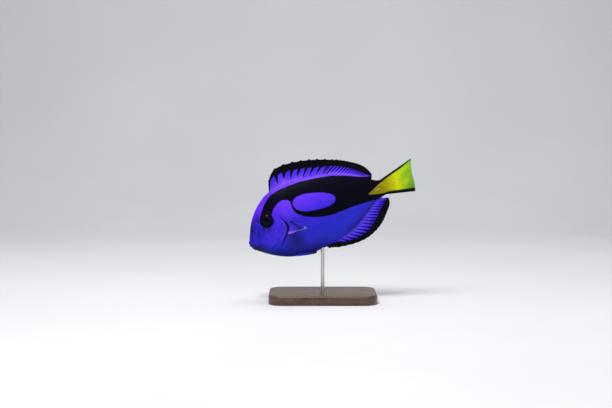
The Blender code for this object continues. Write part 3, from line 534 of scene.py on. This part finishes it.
def skin_values(u, v):
    """What the skin's material reads at each point of the skin."""
    fades = ease(*SLIT_LOW_END, v) * ease(*SLIT_HIGH_END, v)
    behind_edge = (u - gill_edge(v)) * LENGTH
    width = SLIT_WIDTH + SLIT_SWELL * bump((v + 0.01) / 0.045)
    slit = ease(width + SLIT_SOFT, width - SLIT_SOFT, behind_edge) * ease(-0.0007, -0.0001, behind_edge)
    from_line = above_mouth(u, v) * LENGTH
    mouth = bump(from_line / 0.00028) * ease(MOUTH_CORNER + 0.002, MOUTH_CORNER - 0.004, u)
    lips = bump((np.abs(from_line) - 0.0009) / 0.0009)
    pits = sum(
        ease(radius * 1.1, radius * 0.4, from_spot(u, v, spot) * LENGTH) for spot, radius in NOSTRILS)
    to_snout = from_patch(u, v, *SNOUT_FRECKLES)
    to_fringe = from_patch(u, v, *EYE_FRINGE)
    freckles = np.maximum(ease(1.25, 0.35, to_snout), ease(1.4, 0.3, to_fringe))
    freckles = freckles * ease(0.034, 0.04, from_spot(u, v, EYE_CENTRE))
    level = sin(PITCH) * u + cos(PITCH) * v
    values = {
        "along": u,
        "height": v,
        "rise": (v - body_bottom(u)) / np.maximum(body_top(u) - body_bottom(u), 1e-4),
        "freckle": freckles * (0.25 + 0.75 * ease(0.03, 0.085, level)),
        "lips": lips * ease(MOUTH_CORNER + 0.002, MOUTH_CORNER - 0.008, u),
        "chin": ease(0.115, 0.035, u) * ease(0.004, -0.018, above_mouth(u, v)),
        "rim": bump((behind_edge + 0.0016) / 0.0009) * fades,
        "under_fin": bump(from_patch(u, v, *FIN_SHADE)),
        # painted shade in the gill slit, the mouth's slit and the nostril pits
        "dark": np.clip(slit * fades + mouth + pits, 0, 1),
        "band": signed_distance(BAND, u, v),
        "oval": signed_distance(OVAL, u, v, OVAL_SOFTNESS),
        "wedge": signed_distance(WEDGE, u, v, WEDGE_SOFTNESS),
    }
    return {label: np.append(array[0].mean(), array) for label, array in values.items()}


def ray_places(spines, rays, spine_gap=1, crowding=0):
    """Where each spine and ray starts, as a share of the fin's root."""
    soft = 1 + crowding * np.linspace(1, -1, rays if spines else rays - 1)
    gaps = np.append([spine_gap] * max(spines - 1, 0), soft)
    if spines:
        gaps[0] *= FIRST_GAP
    return np.append(0, np.cumsum(gaps)) / gaps.sum()


def blade(root, edge, places, spines, per_gap, rows, halves, ridges, sink, bow):
    """A fin between its root and its outer edge: its points, faces, bake map and painted values.

    places are the rays' shares of the root. halves, ridges and sink are as in the forms above, and
    bow is the distance out of the fin's plane at a share and a depth.
    """
    count = len(places)
    ray = np.linspace(0, count - 1, (count - 1) * per_gap + 1)
    share = np.interp(ray, np.arange(count), places)
    t = np.append(0, np.linspace(0, 1, rows))
    from_ray = np.abs(ray - np.round(ray))
    spiny = np.round(ray) < spines
    narrow = np.where(spiny, SPINE_SPREAD, RAY_SPREAD)
    start, end = root(share), edge(share)
    way = unit(end - start)
    reach = np.where(spiny, SPINE_REACH, RAY_REACH) * (bump(from_ray / (narrow * 1.3)) - 0.5)
    end = end + way * reach[:, None]
    middle = start[:, None] + (end - start)[:, None] * t[None, :, None]
    middle[:, 0] = start - way * sink
    normal = unit(np.cross(np.gradient(middle, axis=0), np.gradient(middle, axis=1)))
    middle = middle + normal * bow(share[:, None], t[None, :])[..., None]
    fork = FORK_SPREAD * ease(*FORK_RUN, t)[None, :]
    branch = narrow[:, None] * (1 - 0.35 * (fork > 0.05))
    ridge = bump(np.abs(from_ray[:, None] - fork) / branch)
    half = halves[0] + (halves[1] - halves[0]) * t[None, :] ** 0.6
    half = half + ridge * (ridges[0] + (ridges[1] - ridges[0]) * t[None, :])
    near, far = middle + normal * half[..., None], middle - normal * half[..., None]
    columns, deep = near.shape[:2]
    offset = columns * deep
    c, r = grid(columns - 1, deep - 1)
    near_faces = np.stack([(c + dc) * deep + r + dr for dc, dr in QUAD], axis=1)
    far_faces = near_faces[:, ::-1] + offset
    near_uvs = grid_uvs(c, r, (0.01, 0.01), (0.485 / (columns - 1), 0.93 / (deep - 1)))
    far_uvs = near_uvs[:, ::-1] + np.array([0.495, 0])
    index = np.arange(offset).reshape(columns, deep)
    rim = [*index[0], *index[1:, -1], *index[-1, -2::-1], *index[-2:0:-1, 0]]
    rim_faces = np.array([(a, b, b + offset, a + offset) for a, b in zip(rim, rim[1:] + rim[:1])])
    ends = np.linspace(0.01, 0.99, len(rim) + 1)
    rim_uvs = [[(x0, 0.96), (x1, 0.96), (x1, 0.98), (x0, 0.98)] for x0, x1 in zip(ends, ends[1:])]
    faces = np.concatenate([near_faces, far_faces, rim_faces]).tolist()
    uvs = np.concatenate([near_uvs, far_uvs, rim_uvs])
    points = np.concatenate([near, far]).reshape(-1, 3)
    place = middle / LENGTH
    values = {
        "ray": ray[:, None] + 0 * t, "depth": t + 0 * share[:, None], "forked": ridge,
        "share": share[:, None] + 0 * t, "along": place[..., 0], "height": place[..., 2]}
    return points, faces, uvs, values


def make_fin(name, node, mesh, values):
    """A fin's piece, painted alike on its two faces."""
    return make_piece(
        name, *mesh, {label: np.tile(array.ravel(), 2) for label, array in values.items()}, [node])


def flat(uv):
    """Points of the midline plane, in metres, from (u, v) pairs."""
    uv = np.asarray(uv)
    return np.stack([uv[..., 0], 0 * uv[..., 0], uv[..., 1]], axis=-1) * LENGTH


def ripple(height, waves, slant):
    """The slight wave of a spread fin, none at its root."""
    return lambda share, depth: height * np.sin(share * waves + depth * slant) * depth


def midline_fin(node, contour, span, edge_points, lean, counts, margin):
    """The dorsal or the anal fin. lean is how far back its rays slant."""
    spines = counts[0]
    edge_path = along(edge_points)

    def root(share):
        u = span[0] + (span[1] - span[0]) * share
        return flat(np.stack([u, contour(u)], axis=-1))

    def edge(share):
        return flat(edge_path(share + lean * share * (1 - share)))

    *mesh, values = blade(
        root, edge, ray_places(*counts), spines, 12, 34, *MIDLINE_FIN_FORM, ripple(*RIPPLE))
    place = values["along"], values["height"]
    off_band = signed_distance(BAND, *place)
    to_edge = distance_to(edge_path(np.linspace(0, 1, 400)), *place)
    from_margin = (to_edge - np.interp(values["share"], *zip(*margin))) * LENGTH
    blue_height = np.where(off_band > 0, from_margin, 0).max(axis=1, keepdims=True)
    values["blue"] = np.minimum(from_margin, off_band)
    values["inward"] = from_margin / np.maximum(blue_height, 0.001)
    values["spiny"] = ease(spines - 0.3, spines - 0.9, values["ray"])
    return make_fin(node + "_fine", node, mesh, values)


def tail_fin_piece():
    root_path, edge_path = along(TAIL_FIN_ROOT), along(TAIL_FIN_EDGE)
    *mesh, values = blade(
        lambda share: flat(root_path(share)), lambda share: flat(edge_path(share)),
        ray_places(0, TAIL_FIN_RAYS), 0, 16, 60, *TAIL_FIN_FORM, ripple(*TAIL_RIPPLE))
    values["wedge"] = signed_distance(WEDGE, values["along"], values["height"], WEDGE_SOFTNESS)
    return make_fin("tail_fin_fine", "tail_fin", mesh, values)


def paired_fin(kind, name, side, root_points, edge_points, rays, bow_height, form):
    root_path, edge_path = along(root_points), along(edge_points)

    def place(path):
        return lambda share: path(share)[:, [0, 2, 1]] * np.array([1, side, 1]) * LENGTH

    def bow(share, depth):
        return side * bow_height * np.sin(pi * depth) * np.sin(pi * (0.15 + 0.7 * share))

    *mesh, values = blade(place(root_path), place(edge_path), ray_places(0, rays), 0, 12, 40, *form, bow)
    return make_fin(f"{kind}_{name}_fine", f"{kind}_fin_{name}", mesh, values)


def eye_piece(name, side):
    """An eyeball flattened as in the solids, with a clear bulge over the pupil."""
    rings, around = 40, 72
    radius = EYE_RADIUS * LENGTH
    angles = np.linspace(0, pi, rings + 2)[1:-1]
    turns = 2 * pi * np.arange(around) / around
    rim = np.sin(angles)[:, None]
    pole = np.cos(angles)[:, None] + 0 * turns
    cornea = CORNEA * ease(0.62, 0, rim) * (pole > 0)
    points = np.stack([radius * rim * np.cos(turns), side * EYE_HALF_DEPTH * (pole + cornea),
                       radius * rim * np.sin(turns)], axis=2).reshape(-1, 3)
    tips = [[0, side * EYE_HALF_DEPTH * (1 + CORNEA), 0], [0, -side * EYE_HALF_DEPTH, 0]]
    count = rings * around
    last = count - around
    faces = ring_faces(rings, around)
    faces += [(count, (c + 1) % around, c) for c in range(around)]
    faces += [(count + 1, last + c, last + (c + 1) % around) for c in range(around)]
    u, v = EYE_CENTRE
    out = surface_out(u, v) + EYE_PROUD - EYE_HALF_DEPTH
    turn = Matrix.Rotation(side * EYE_TURN[1], 4, "Z") @ Matrix.Rotation(side * EYE_TURN[0], 4, "X")
    centre = Matrix.Translation((u * LENGTH, side * out, v * LENGTH))
    placed = [(centre @ turn @ Vector(p))[:] for p in np.concatenate([points, tips])]

    def everywhere(value, at_tips):
        return np.append(np.broadcast_to(value, pole.shape), at_tips)

    values = {
        "from_pupil": everywhere(np.where(pole > 0, rim, 1), [0, 1]),
        "spoke": everywhere(np.cos(turns), [0, 0]), "spoke_up": everywhere(np.sin(turns), [0, 0])}
    return make_piece(f"eye_{name}_fine", placed, faces, None, values, [f"eye_{name}"])


def tail_spine_piece(name, side):
    """The folded spine of the tail stalk, tip forward."""
    steps, around = 36, 24
    (tip_u, tip_v), (end_u, end_v) = TAIL_SPINE
    t = np.arange(steps + 1)[:, None] / steps
    turn = 2 * pi * np.arange(around) / around
    u, v = tip_u + (end_u - tip_u) * t, tip_v + (end_v - tip_v) * t
    size = np.sin(pi * np.minimum(0.02 + 0.66 * t**0.8, 0.68)) * (1 - 0.3 * ease(0.9, 1, t))
    out = side * (surface_out(u, v) + TAIL_SPINE_PROUD - TAIL_SPINE_THICKNESS / 2)
    wide = TAIL_SPINE_THICKNESS / 2 * size * np.cos(turn)
    high = TAIL_SPINE_HEIGHT / 2 * size * np.sin(turn)
    points = np.stack([u * LENGTH + 0 * turn, out + wide, v * LENGTH + high], axis=2)
    return make_piece(
        f"tail_spine_{name}_fine", points.reshape(-1, 3), capped_faces(steps + 1, around), None,
        {"depth": t + 0 * turn}, [f"tail_spine_{name}"])


def base_piece():
    """The display base: a flat board with round corners, a soft top edge and a hole for the rod."""
    corner_steps, bevel_steps = 16, 6
    quarters = np.repeat(np.arange(4), corner_steps + 1)
    angles = pi / 2 * (quarters + np.tile(np.arange(corner_steps + 1) / corner_steps, 4))
    ways = np.stack([np.cos(angles), np.sin(angles)], axis=1)
    signs = np.array([(1, 1), (-1, 1), (-1, -1), (1, -1)])[quarters]
    middles = signs * (np.array([BASE_LENGTH, BASE_WIDTH]) / 2 - BASE_CORNER)
    levels = [(BASE_CHAMFER, 0), (0, BASE_CHAMFER), (0, BASE_THICKNESS - BASE_BEVEL)]
    curve = [pi / 2 * step / bevel_steps for step in range(1, bevel_steps + 1)]
    levels += [(BASE_BEVEL * (1 - cos(a)), BASE_THICKNESS - BASE_BEVEL * (1 - sin(a))) for a in curve]
    points = [(x, y, height) for inset, height in levels for x, y in middles + ways * (BASE_CORNER - inset)]
    x, y = (middles + ways * (BASE_CORNER - BASE_BEVEL)).T
    hole = ROD_RADIUS + ROD_CLEARANCE
    for height in (BASE_THICKNESS, BASE_THICKNESS - HOLE_DEPTH):
        points += [(hole * cos(a), hole * sin(a), height) for a in np.arctan2(y, x)]
    faces = capped_faces(len(levels) + 2, len(angles))
    piece = make_piece("base_board", points, faces, None, {}, ["stand_base"], in_fish=False)
    piece.data.set_sharp_from_angle(angle=radians(50))
    return piece


# Materials

class Paint:
    """A Principled material and short ways to add nodes to it."""

    def __init__(self, name, roughness, metallic=0, specular=0.5, coat=0, coat_roughness=0.1):
        self.material = bpy.data.materials.new(name)
        self.material.use_nodes = True
        self.tree = self.material.node_tree
        self.surface = self.tree.nodes["Principled BSDF"]
        self.fill(self.surface, {
            "Roughness": roughness, "Metallic": metallic, "Specular IOR Level": specular,
            "Coat Weight": coat, "Coat Roughness": coat_roughness})

    def fill(self, node, inputs):
        """Gives a node's inputs numbers, vectors, colours, painted values by name or other outputs."""
        for label, value in inputs.items():
            socket = node.inputs[label]
            if isinstance(value, str):
                value = self.node("Attribute", "Fac", {}, attribute_name=value)
            if isinstance(value, (int, float)):
                socket.default_value = value
            elif isinstance(value, tuple):
                socket.default_value = (*value, 1) if socket.type == "RGBA" else value
            elif value is not None:
                self.tree.links.new(value, socket)

    def node(self, kind, output, inputs, **settings):
        """One output of a new node with these inputs and settings."""
        node = self.tree.nodes.new("ShaderNode" + kind)
        for name, setting in settings.items():
            setattr(node, name, setting)
        self.fill(node, inputs)
        return node.outputs[output]

    def maths(self, operation, a, b=0, clamp=False):
        return self.node("Math", 0, {0: a, 1: b}, operation=operation, use_clamp=clamp)

    def add(self, a, b):
        return self.maths("ADD", a, b)

    def less(self, a, b, clamp=False):
        return self.maths("SUBTRACT", a, b, clamp)

    def product(self, *factors):
        """The factors multiplied. A factor (value, low, high) is eased first."""
        first, *others = [self.ease(*part) if isinstance(part, tuple) else part for part in factors]
        for factor in others:
            first = self.maths("MULTIPLY", first, factor)
        return first

    def ease(self, value, low, high):
        """As ease above, in the material."""
        inputs = {"Value": value, "From Min": low, "From Max": high}
        return self.node("MapRange", "Result", inputs, interpolation_type="SMOOTHSTEP")

    def mix(self, share, a, b, blend="MIX"):
        inputs = {"Factor": share, "A": a, "B": b}
        return self.node("Mix", "Result", inputs, data_type="RGBA", blend_type=blend)

    def over(self, under, colour, *shares):
        """under with colour laid over it, as far as the product of the shares."""
        return self.mix(self.product(*shares), under, colour)

    def ramp(self, value, stops):
        node = self.tree.nodes.new("ShaderNodeValToRGB")
        elements = node.color_ramp.elements
        while len(elements) < len(stops):
            elements.new(0.5)
        for element, (position, colour) in zip(elements, stops):
            element.position = position
            element.color = (*colour, 1)
        self.fill(node, {"Fac": value})
        return node.outputs["Color"]

    def shade(self, colour, value, tint, tinted_at, plain_at, share=1):
        """colour, darkened by tint where value is at tinted_at and left alone at plain_at."""
        stops = sorted([(tinted_at, tint), (plain_at, (1, 1, 1))])
        return self.mix(share, colour, self.ramp(value, stops), "MULTIPLY")

    def uneven(self, value, low, high):
        """Roughness from low to high as value goes from 0.3 to 0.7."""
        return self.ramp(value, [(0.3, (low,) * 3), (0.7, (high,) * 3)])

    def place(self, scale, turn=0):
        """The point's place in the row frame, turned about Y and stretched along each axis."""
        where = self.node("TexCoord", "Object", {})
        if turn:
            where = self.node(
                "VectorRotate", "Vector", {"Vector": where, "Angle": turn}, rotation_type="Y_AXIS")
        return self.node("Mapping", "Vector", {"Vector": where, "Scale": scale})

    def noise(self, scale, detail=3, vector=None, distortion=0):
        inputs = {"Scale": scale, "Detail": detail, "Distortion": distortion,
                  "Vector": vector or self.place((1, 1, 1))}
        return self.node("TexNoise", "Fac", inputs)

    def wobble(self, scale, size):
        """A small distance that wanders either side of 0."""
        return self.product(self.less(self.noise(scale), 0.5), size)

    def cells(self, scale, vector=None):
        inputs = {"Scale": scale, "Vector": vector or self.place((1, 1, 1))}
        return self.node("TexVoronoi", "Distance", inputs)

    def bump(self, height, distance, strength=1, after=None):
        inputs = {"Height": height, "Distance": distance, "Strength": strength, "Normal": after}
        return self.node("Bump", "Normal", inputs)

    def finish(self, colour=None, roughness=None, normal=None):
        self.fill(self.surface, {"Base Color": colour, "Roughness": roughness, "Normal": normal})
        return self.material


def mottled(paint, colour):
    """Slight light and dark patches, and specks the size of the fish's tiny scales."""
    patched = paint.shade(colour, paint.noise(140), (0.86, 0.86, 0.88), 0.3, 0.7)
    return paint.shade(patched, paint.cells(SCALES), (0.8, 0.8, 0.84), 0.75, 0.05)


def inside(paint, label, wobble, softness):
    """1 inside a painted outline and 0 outside it, with a slightly uneven edge."""
    return paint.ease(paint.add(label, wobble), softness, -softness)


def rayed(paint, colour, gap_tint, bright_at=1):
    """colour, darker between the rays than on them."""
    return paint.shade(colour, "forked", gap_tint, 0, bright_at)


def finish_fin(paint, colour, scaly=False):
    grain = paint.bump(paint.cells(SCALES), 0.00003, 0.4) if scaly else None
    return paint.finish(colour, None, paint.bump(paint.noise(900), 0.00006, 0.5, after=grain))


def skin_material():
    paint = Paint("tang_skin", 0.42, specular=0.16)
    wobble = paint.wobble(300, 0.0004)
    tone = paint.add("height", paint.product(wobble, 18))
    # The body's blues by height are partly the fish's own tones and partly painted light: more violet
    # towards the back, and lifted again at the very bottom against the shade there
    blue = paint.ramp(paint.ease(tone, -0.26, 0.24), FLANK_TONES)
    face = paint.ramp(paint.ease(tone, 0, 0.2), FACE_TONES)
    blue = paint.over(blue, face, ("along", 0.34, 0.22), ("height", -0.04, 0.06))
    blue = paint.over(blue, SNOUT_BLUE, ("along", 0.12, 0.03), 0.5)
    blue = paint.over(blue, VIOLET, "rim", 0.35)
    # Painted shade: darker along the belly, and along the rear belly towards the anal fin's root
    blue = paint.over(blue, SHADE_BLUE, ("rise", 0.24, 0.02), ("along", 0.62, 0.4), 0.85)
    blue = paint.over(blue, SHADE_BLUE, ("rise", 0.16, 0), ("along", 0.55, 0.75), 0.7)
    on_cheek = paint.product(("along", 0.3, 0.24), ("height", 0.12, 0.06))
    blue = paint.over(blue, CHEEK_BLUE, on_cheek, ("along", 0.09, 0.15), ("height", -0.13, -0.04), 0.5)
    fine_lines = paint.noise(900, 2, paint.place((1, 1, 0.1), turn=FACE_LINES))
    blue = paint.shade(blue, fine_lines, (0.62, 0.66, 0.78), 0.38, 0.58, share=on_cheek)
    blue = mottled(paint, blue)
    lengthwise = paint.place((1, 1, 0.45))
    dots = paint.product((paint.cells(560, lengthwise), 0.4, 0.2), 0.85)
    smear = paint.ease(paint.noise(420, vector=lengthwise), 0.44, 0.6)
    blue = paint.over(blue, FRECKLE_BLUE, "freckle", 0.55)
    blue = paint.over(blue, FRECKLE_BLACK, paint.maths("MAXIMUM", dots, smear), "freckle")
    # Painted shadow of the pectoral fin on the flank below it
    blue = paint.over(blue, SHADE_BLUE, "under_fin", 0.88)
    blue = paint.over(blue, LIP_BLUE, "lips", 0.5)
    # Painted shade over the chin and lower jaw, which face downwards
    blue = paint.over(blue, CHIN_SHADE, "chin", 0.88)
    in_band = inside(paint, "band", wobble, 0.00035)
    off_oval = paint.less(1, inside(paint, "oval", wobble, 0.00035))
    black = mottled(paint, paint.mix(paint.ease("height", 0.05, 0.12), BLACK, UPPER_BLACK))
    colour = paint.over(blue, black, in_band, off_oval)
    yellow = paint.mix(paint.ease("along", 0.9, 1), *WEDGE_TONES[:2])
    yellow = paint.mix(paint.ease("along", 0.99, SKIN_END), yellow, WEDGE_TONES[2])
    colour = paint.over(colour, mottled(paint, yellow), inside(paint, "wedge", wobble, 0.0004))
    # Painted shade in the recesses: the gill slit, the mouth's slit and the nostril pits
    colour = paint.over(colour, RECESS_SHADE, "dark")
    scales = paint.bump(paint.cells(SCALES), 0.00005, 0.55)
    folds = paint.bump(paint.noise(260, 4), 0.00022, 0.5, after=scales)
    shine = paint.less(0.13, paint.product(in_band, 0.09))
    paint.fill(paint.surface, {"Specular IOR Level": shine})
    return paint.finish(colour, paint.uneven(paint.noise(500), 0.4, 0.54), folds)


def from_nearest_ray(paint, shift):
    """How far a point is from the nearest ray, from 0 on it to 0.5 halfway, after a shift."""
    moved = paint.add("ray", 0.5 + shift)
    return paint.maths("ABSOLUTE", paint.less(paint.maths("FRACT", moved), 0.5))


def midline_fin_material(name, tones, base_line, gap, gap_run, spiny_run, soft_run):
    """Blue with a black outer margin that runs down into the fin as a streak at each ray.

    tones are the blues next to the margin, further in, and at the base, which starts at base_line.
    Between the soft rays the streaks turn from black to gap over gap_run, a span of the root. The
    other runs and base_line are shares of the way inward.
    """
    outer, blue, bright = tones
    paint = Paint(name, 0.48, specular=0.05)
    behind_spine = paint.maths("FRACT", paint.add("ray", 0.9))
    step = paint.product(paint.less(behind_spine, 0.5), 0.0018, "spiny")
    inner = paint.add(paint.add("blue", paint.wobble(400, 0.0005)), step)
    run = paint.add(soft_run, paint.product("spiny", spiny_run - soft_run))
    nearness = paint.less(1, paint.maths("DIVIDE", "inward", run), clamp=True)
    wide_spine = paint.product(nearness, 0.23)
    wide_soft = paint.product(paint.maths("POWER", nearness, 0.35), 0.27)
    streak = paint.ease(paint.less(from_nearest_ray(paint, -0.1), wide_spine), 0.03, -0.02)
    streak = paint.product(streak, "spiny", (nearness, 0.04, 0.45))
    stripe = paint.ease(paint.less(from_nearest_ray(paint, 0.5), wide_soft), 0.03, -0.03)
    stripe = paint.product(stripe, paint.less(1, "spiny"), (nearness, 0, 0.15), ("share", 0.97, 0.94))
    colour = paint.over(blue, outer, (nearness, 0.25, 0.85))
    # At the root: on the dorsal fin a violet line, partly its own colour and partly painted highlight; on
    # the anal fin a darker blue, painted shade
    colour = paint.over(colour, bright, ("inward", *base_line))
    colour = mottled(paint, rayed(paint, colour, (0.78, 0.78, 0.85)))
    between = paint.over(FIN_BLACK, gap, ("share", *gap_run), (nearness, 0.95, 0.35))
    colour = paint.over(colour, between, stripe)
    margin = paint.ease(inner, 0.0004, -0.0003)
    colour = paint.over(colour, FIN_BLACK, paint.maths("MAXIMUM", streak, margin, clamp=True))
    return finish_fin(paint, colour, scaly=True)


def tail_fin_material():
    paint = Paint("tang_tail_fin", 0.48, specular=0.06)
    yellow = paint.ramp("depth", TAIL_TONES)
    lower = paint.ease("share", 0.1, 0.55)
    patches = paint.ease(paint.noise(90), 0.25, 0.6)
    yellow = paint.over(yellow, TAIL_DULL, ("depth", 0.42, 0.9), lower, patches, 0.85)
    yellow = rayed(paint, yellow, (0.74, 0.8, 0.66), 0.9)
    yellow = paint.shade(yellow, paint.noise(260, 4), (0.93, 0.93, 0.9), 0.35, 0.65)
    in_wedge = inside(paint, "wedge", paint.wobble(400, 0.0005), 0.0004)
    return finish_fin(paint, paint.over(FIN_BLACK, yellow, in_wedge), scaly=True)


def pectoral_material():
    """Blue with a painted shadow line from the top of its root across it, a painted highlight along its
    lower edge and a yellow tip.
    """
    paint = Paint("tang_pectoral_fin", 0.45, specular=0.1)
    below = paint.less("share", paint.product(paint.maths("POWER", "depth", 2), 1.75))
    base = paint.mix(paint.ease(below, 0, 0.3), *PECTORAL_BLUES)
    # Painted shadow line across the fin, and below it a painted highlight along the lower edge
    base = paint.over(base, PECTORAL_SHADOW_LINE, (below, -0.08, -0.01), (below, 0.1, 0.01), ("depth", 0.86, 0.68))
    base = paint.over(base, PECTORAL_EDGE_HIGHLIGHT, ("share", 0.74, 0.9))
    tip = paint.ease(paint.less("depth", paint.product("share", 0.06)), 0.84, 0.91)
    colour = rayed(paint, paint.over(base, PECTORAL_TIP, tip), (0.8, 0.8, 0.86))
    return finish_fin(paint, mottled(paint, colour))


def pelvic_material():
    paint = Paint("tang_pelvic_fin", 0.48, specular=0.16)
    colour = paint.over(DEEP_BLUE, PELVIC_EDGE_TONE, ("depth", 0.3, 1))
    return finish_fin(paint, mottled(paint, rayed(paint, colour, (0.66, 0.66, 0.78))))


def eye_material():
    """A black pupil in a very dark iris with faint spokes, under a clear wet surface."""
    paint = Paint("tang_eye", 0.3, specular=0.02, coat=0.07, coat_roughness=0.03)
    radius = "from_pupil"
    wheel = paint.node("CombineXYZ", "Vector", {"X": "spoke", "Y": "spoke_up", "Z": radius})
    streaks = paint.noise(9, 4, wheel)
    iris = paint.ramp(streaks, IRIS_TONES)
    iris = paint.over(iris, EYE_RIM_TONE, (radius, 0.7, 0.84))
    iris = paint.over(iris, PUPIL_RING, (radius, 0.44, 0.47), (radius, 0.52, 0.48), 0.5)
    return paint.finish(paint.over(PUPIL, iris, (radius, 0.43, 0.46)))


def tail_spine_material():
    paint = Paint("tang_tail_spine", 0.45, specular=0.2)
    bone = paint.mix(paint.ease("depth", 0.1, 0.9), *BONE)
    colour = paint.shade(bone, paint.noise(700, 4), (0.82, 0.8, 0.74), 0.3, 0.7)
    return paint.finish(colour, None, paint.bump(paint.noise(1200), 0.00003, 0.5))


def walnut_material():
    paint = Paint("stand_walnut", 0.42, specular=0.4, coat=0.25, coat_roughness=0.25)
    warp = paint.noise(3, vector=paint.place((7, 60, 60)), distortion=0.8)
    pores = paint.noise(14, 2, paint.place((60, 420, 420)))
    colour = paint.shade(paint.ramp(warp, WALNUT_TONES), pores, (0.45, 0.42, 0.4), 0.36, 0.47)
    return paint.finish(colour, paint.uneven(warp, 0.36, 0.5), paint.bump(pores, 0.00008, 0.4))


def steel_material():
    paint = Paint("stand_steel", 0.3, metallic=1)
    lines = paint.noise(60, vector=paint.place((60, 60, 2)))
    colour = paint.ramp(lines, [(0.35, (0.46, 0.47, 0.48)), (0.65, (0.66, 0.67, 0.68))])
    return paint.finish(colour, paint.uneven(lines, 0.22, 0.38), paint.bump(lines, 0.00002, 0.5))


def paper_material():
    paint = Paint("studio_paper", 0.85, specular=0.2)
    return paint.finish(paint.ramp(paint.noise(6, 2), [(0.3, (0.66, 0.66, 0.67)), (0.7, (0.69, 0.69, 0.7))]))


# The scene

def dress(obj, material):
    obj.data.materials.clear()
    obj.data.materials.append(material)


def build_fish():
    u, v, *mesh = skin_mesh()
    skin = make_piece("tang_skin", *mesh, skin_values(u, v), ["head", "lower_jaw", "trunk", "tail_stalk"])
    dress(skin, skin_material())
    dress(midline_fin("dorsal_fin", back, *DORSAL), midline_fin_material("tang_dorsal_fin", *DORSAL_LOOK))
    dress(midline_fin("anal_fin", belly, *ANAL), midline_fin_material("tang_anal_fin", *ANAL_LOOK))
    dress(tail_fin_piece(), tail_fin_material())
    pectoral, pelvic = pectoral_material(), pelvic_material()
    eye, bone = eye_material(), tail_spine_material()
    for name, side in BOTH_SIDES:
        dress(paired_fin("pectoral", name, side, *PECTORAL, PECTORAL_FORM), pectoral)
        dress(paired_fin("pelvic", name, side, *PELVIC, PELVIC_FORM), pelvic)
        dress(eye_piece(name, side), eye)
        dress(tail_spine_piece(name, side), bone)


def build_stand():
    dress(base_piece(), walnut_material())
    dress(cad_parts["stand_rod"], steel_material())


def build_studio():
    """A pale floor that curves up into a backdrop, and soft lights from above and in front."""
    profile = [(-1.6, 0), (0.55, 0)]
    profile += [(0.55 + 0.5 * sin(a), 0.5 - 0.5 * cos(a)) for a in np.linspace(0.1, pi / 2, 14)]
    profile.append((1.05, 2.4))
    mesh = bpy.data.meshes.new("studio_sweep")
    corners = [(x, y, z) for y, z in profile for x in (-2.6, 2.6)]
    quads = [(2 * i, 2 * i + 1, 2 * i + 3, 2 * i + 2) for i in range(len(profile) - 1)]
    mesh.from_pydata(corners, [], quads)
    mesh.shade_smooth()
    sweep = add_object("studio_sweep", mesh)
    dress(sweep, paper_material())
    for name, place, aim, size, power in LIGHTS:
        data = bpy.data.lights.new(name, "AREA")
        data.shape = "DISK"
        data.size = size
        data.energy = power
        light = add_object(name, data)
        light.location = place
        light.rotation_euler = (Vector(aim) - Vector(place)).to_track_quat("-Z", "Y").to_euler()
    world = bpy.data.worlds.new("studio_world")
    world.use_nodes = True
    background = world.node_tree.nodes["Background"].inputs
    background["Color"].default_value = (0.85, 0.88, 0.95, 1)
    background["Strength"].default_value = 0.3
    bpy.context.scene.world = world
    bpy.context.scene.view_settings.view_transform = "Standard"


def build_camera():
    """Straight at the fish's left side from a little above, framed as in the photo."""
    across = (PHOTO_SIZE[0] / 2 - SNOUT_PIXEL[0]) * METRES_PER_PIXEL
    up = (SNOUT_PIXEL[1] - PHOTO_SIZE[1] / 2) * METRES_PER_PIXEL
    distance = CAMERA_LENS / SENSOR * PHOTO_SIZE[0] * METRES_PER_PIXEL
    way_back = Vector((0, -cos(CAMERA_TILT), sin(CAMERA_TILT)))
    data = bpy.data.cameras.new("camera")
    data.lens = CAMERA_LENS
    data.sensor_width = SENSOR
    data.clip_start = 0.01
    camera = add_object("camera", data)
    camera.location = SNOUT + Vector((across, 0, up)) + distance * way_back
    camera.rotation_euler = (pi / 2 - CAMERA_TILT, 0, 0)
    bpy.context.scene.camera = camera


build_camera()
build_fish()
build_stand()
build_studio()
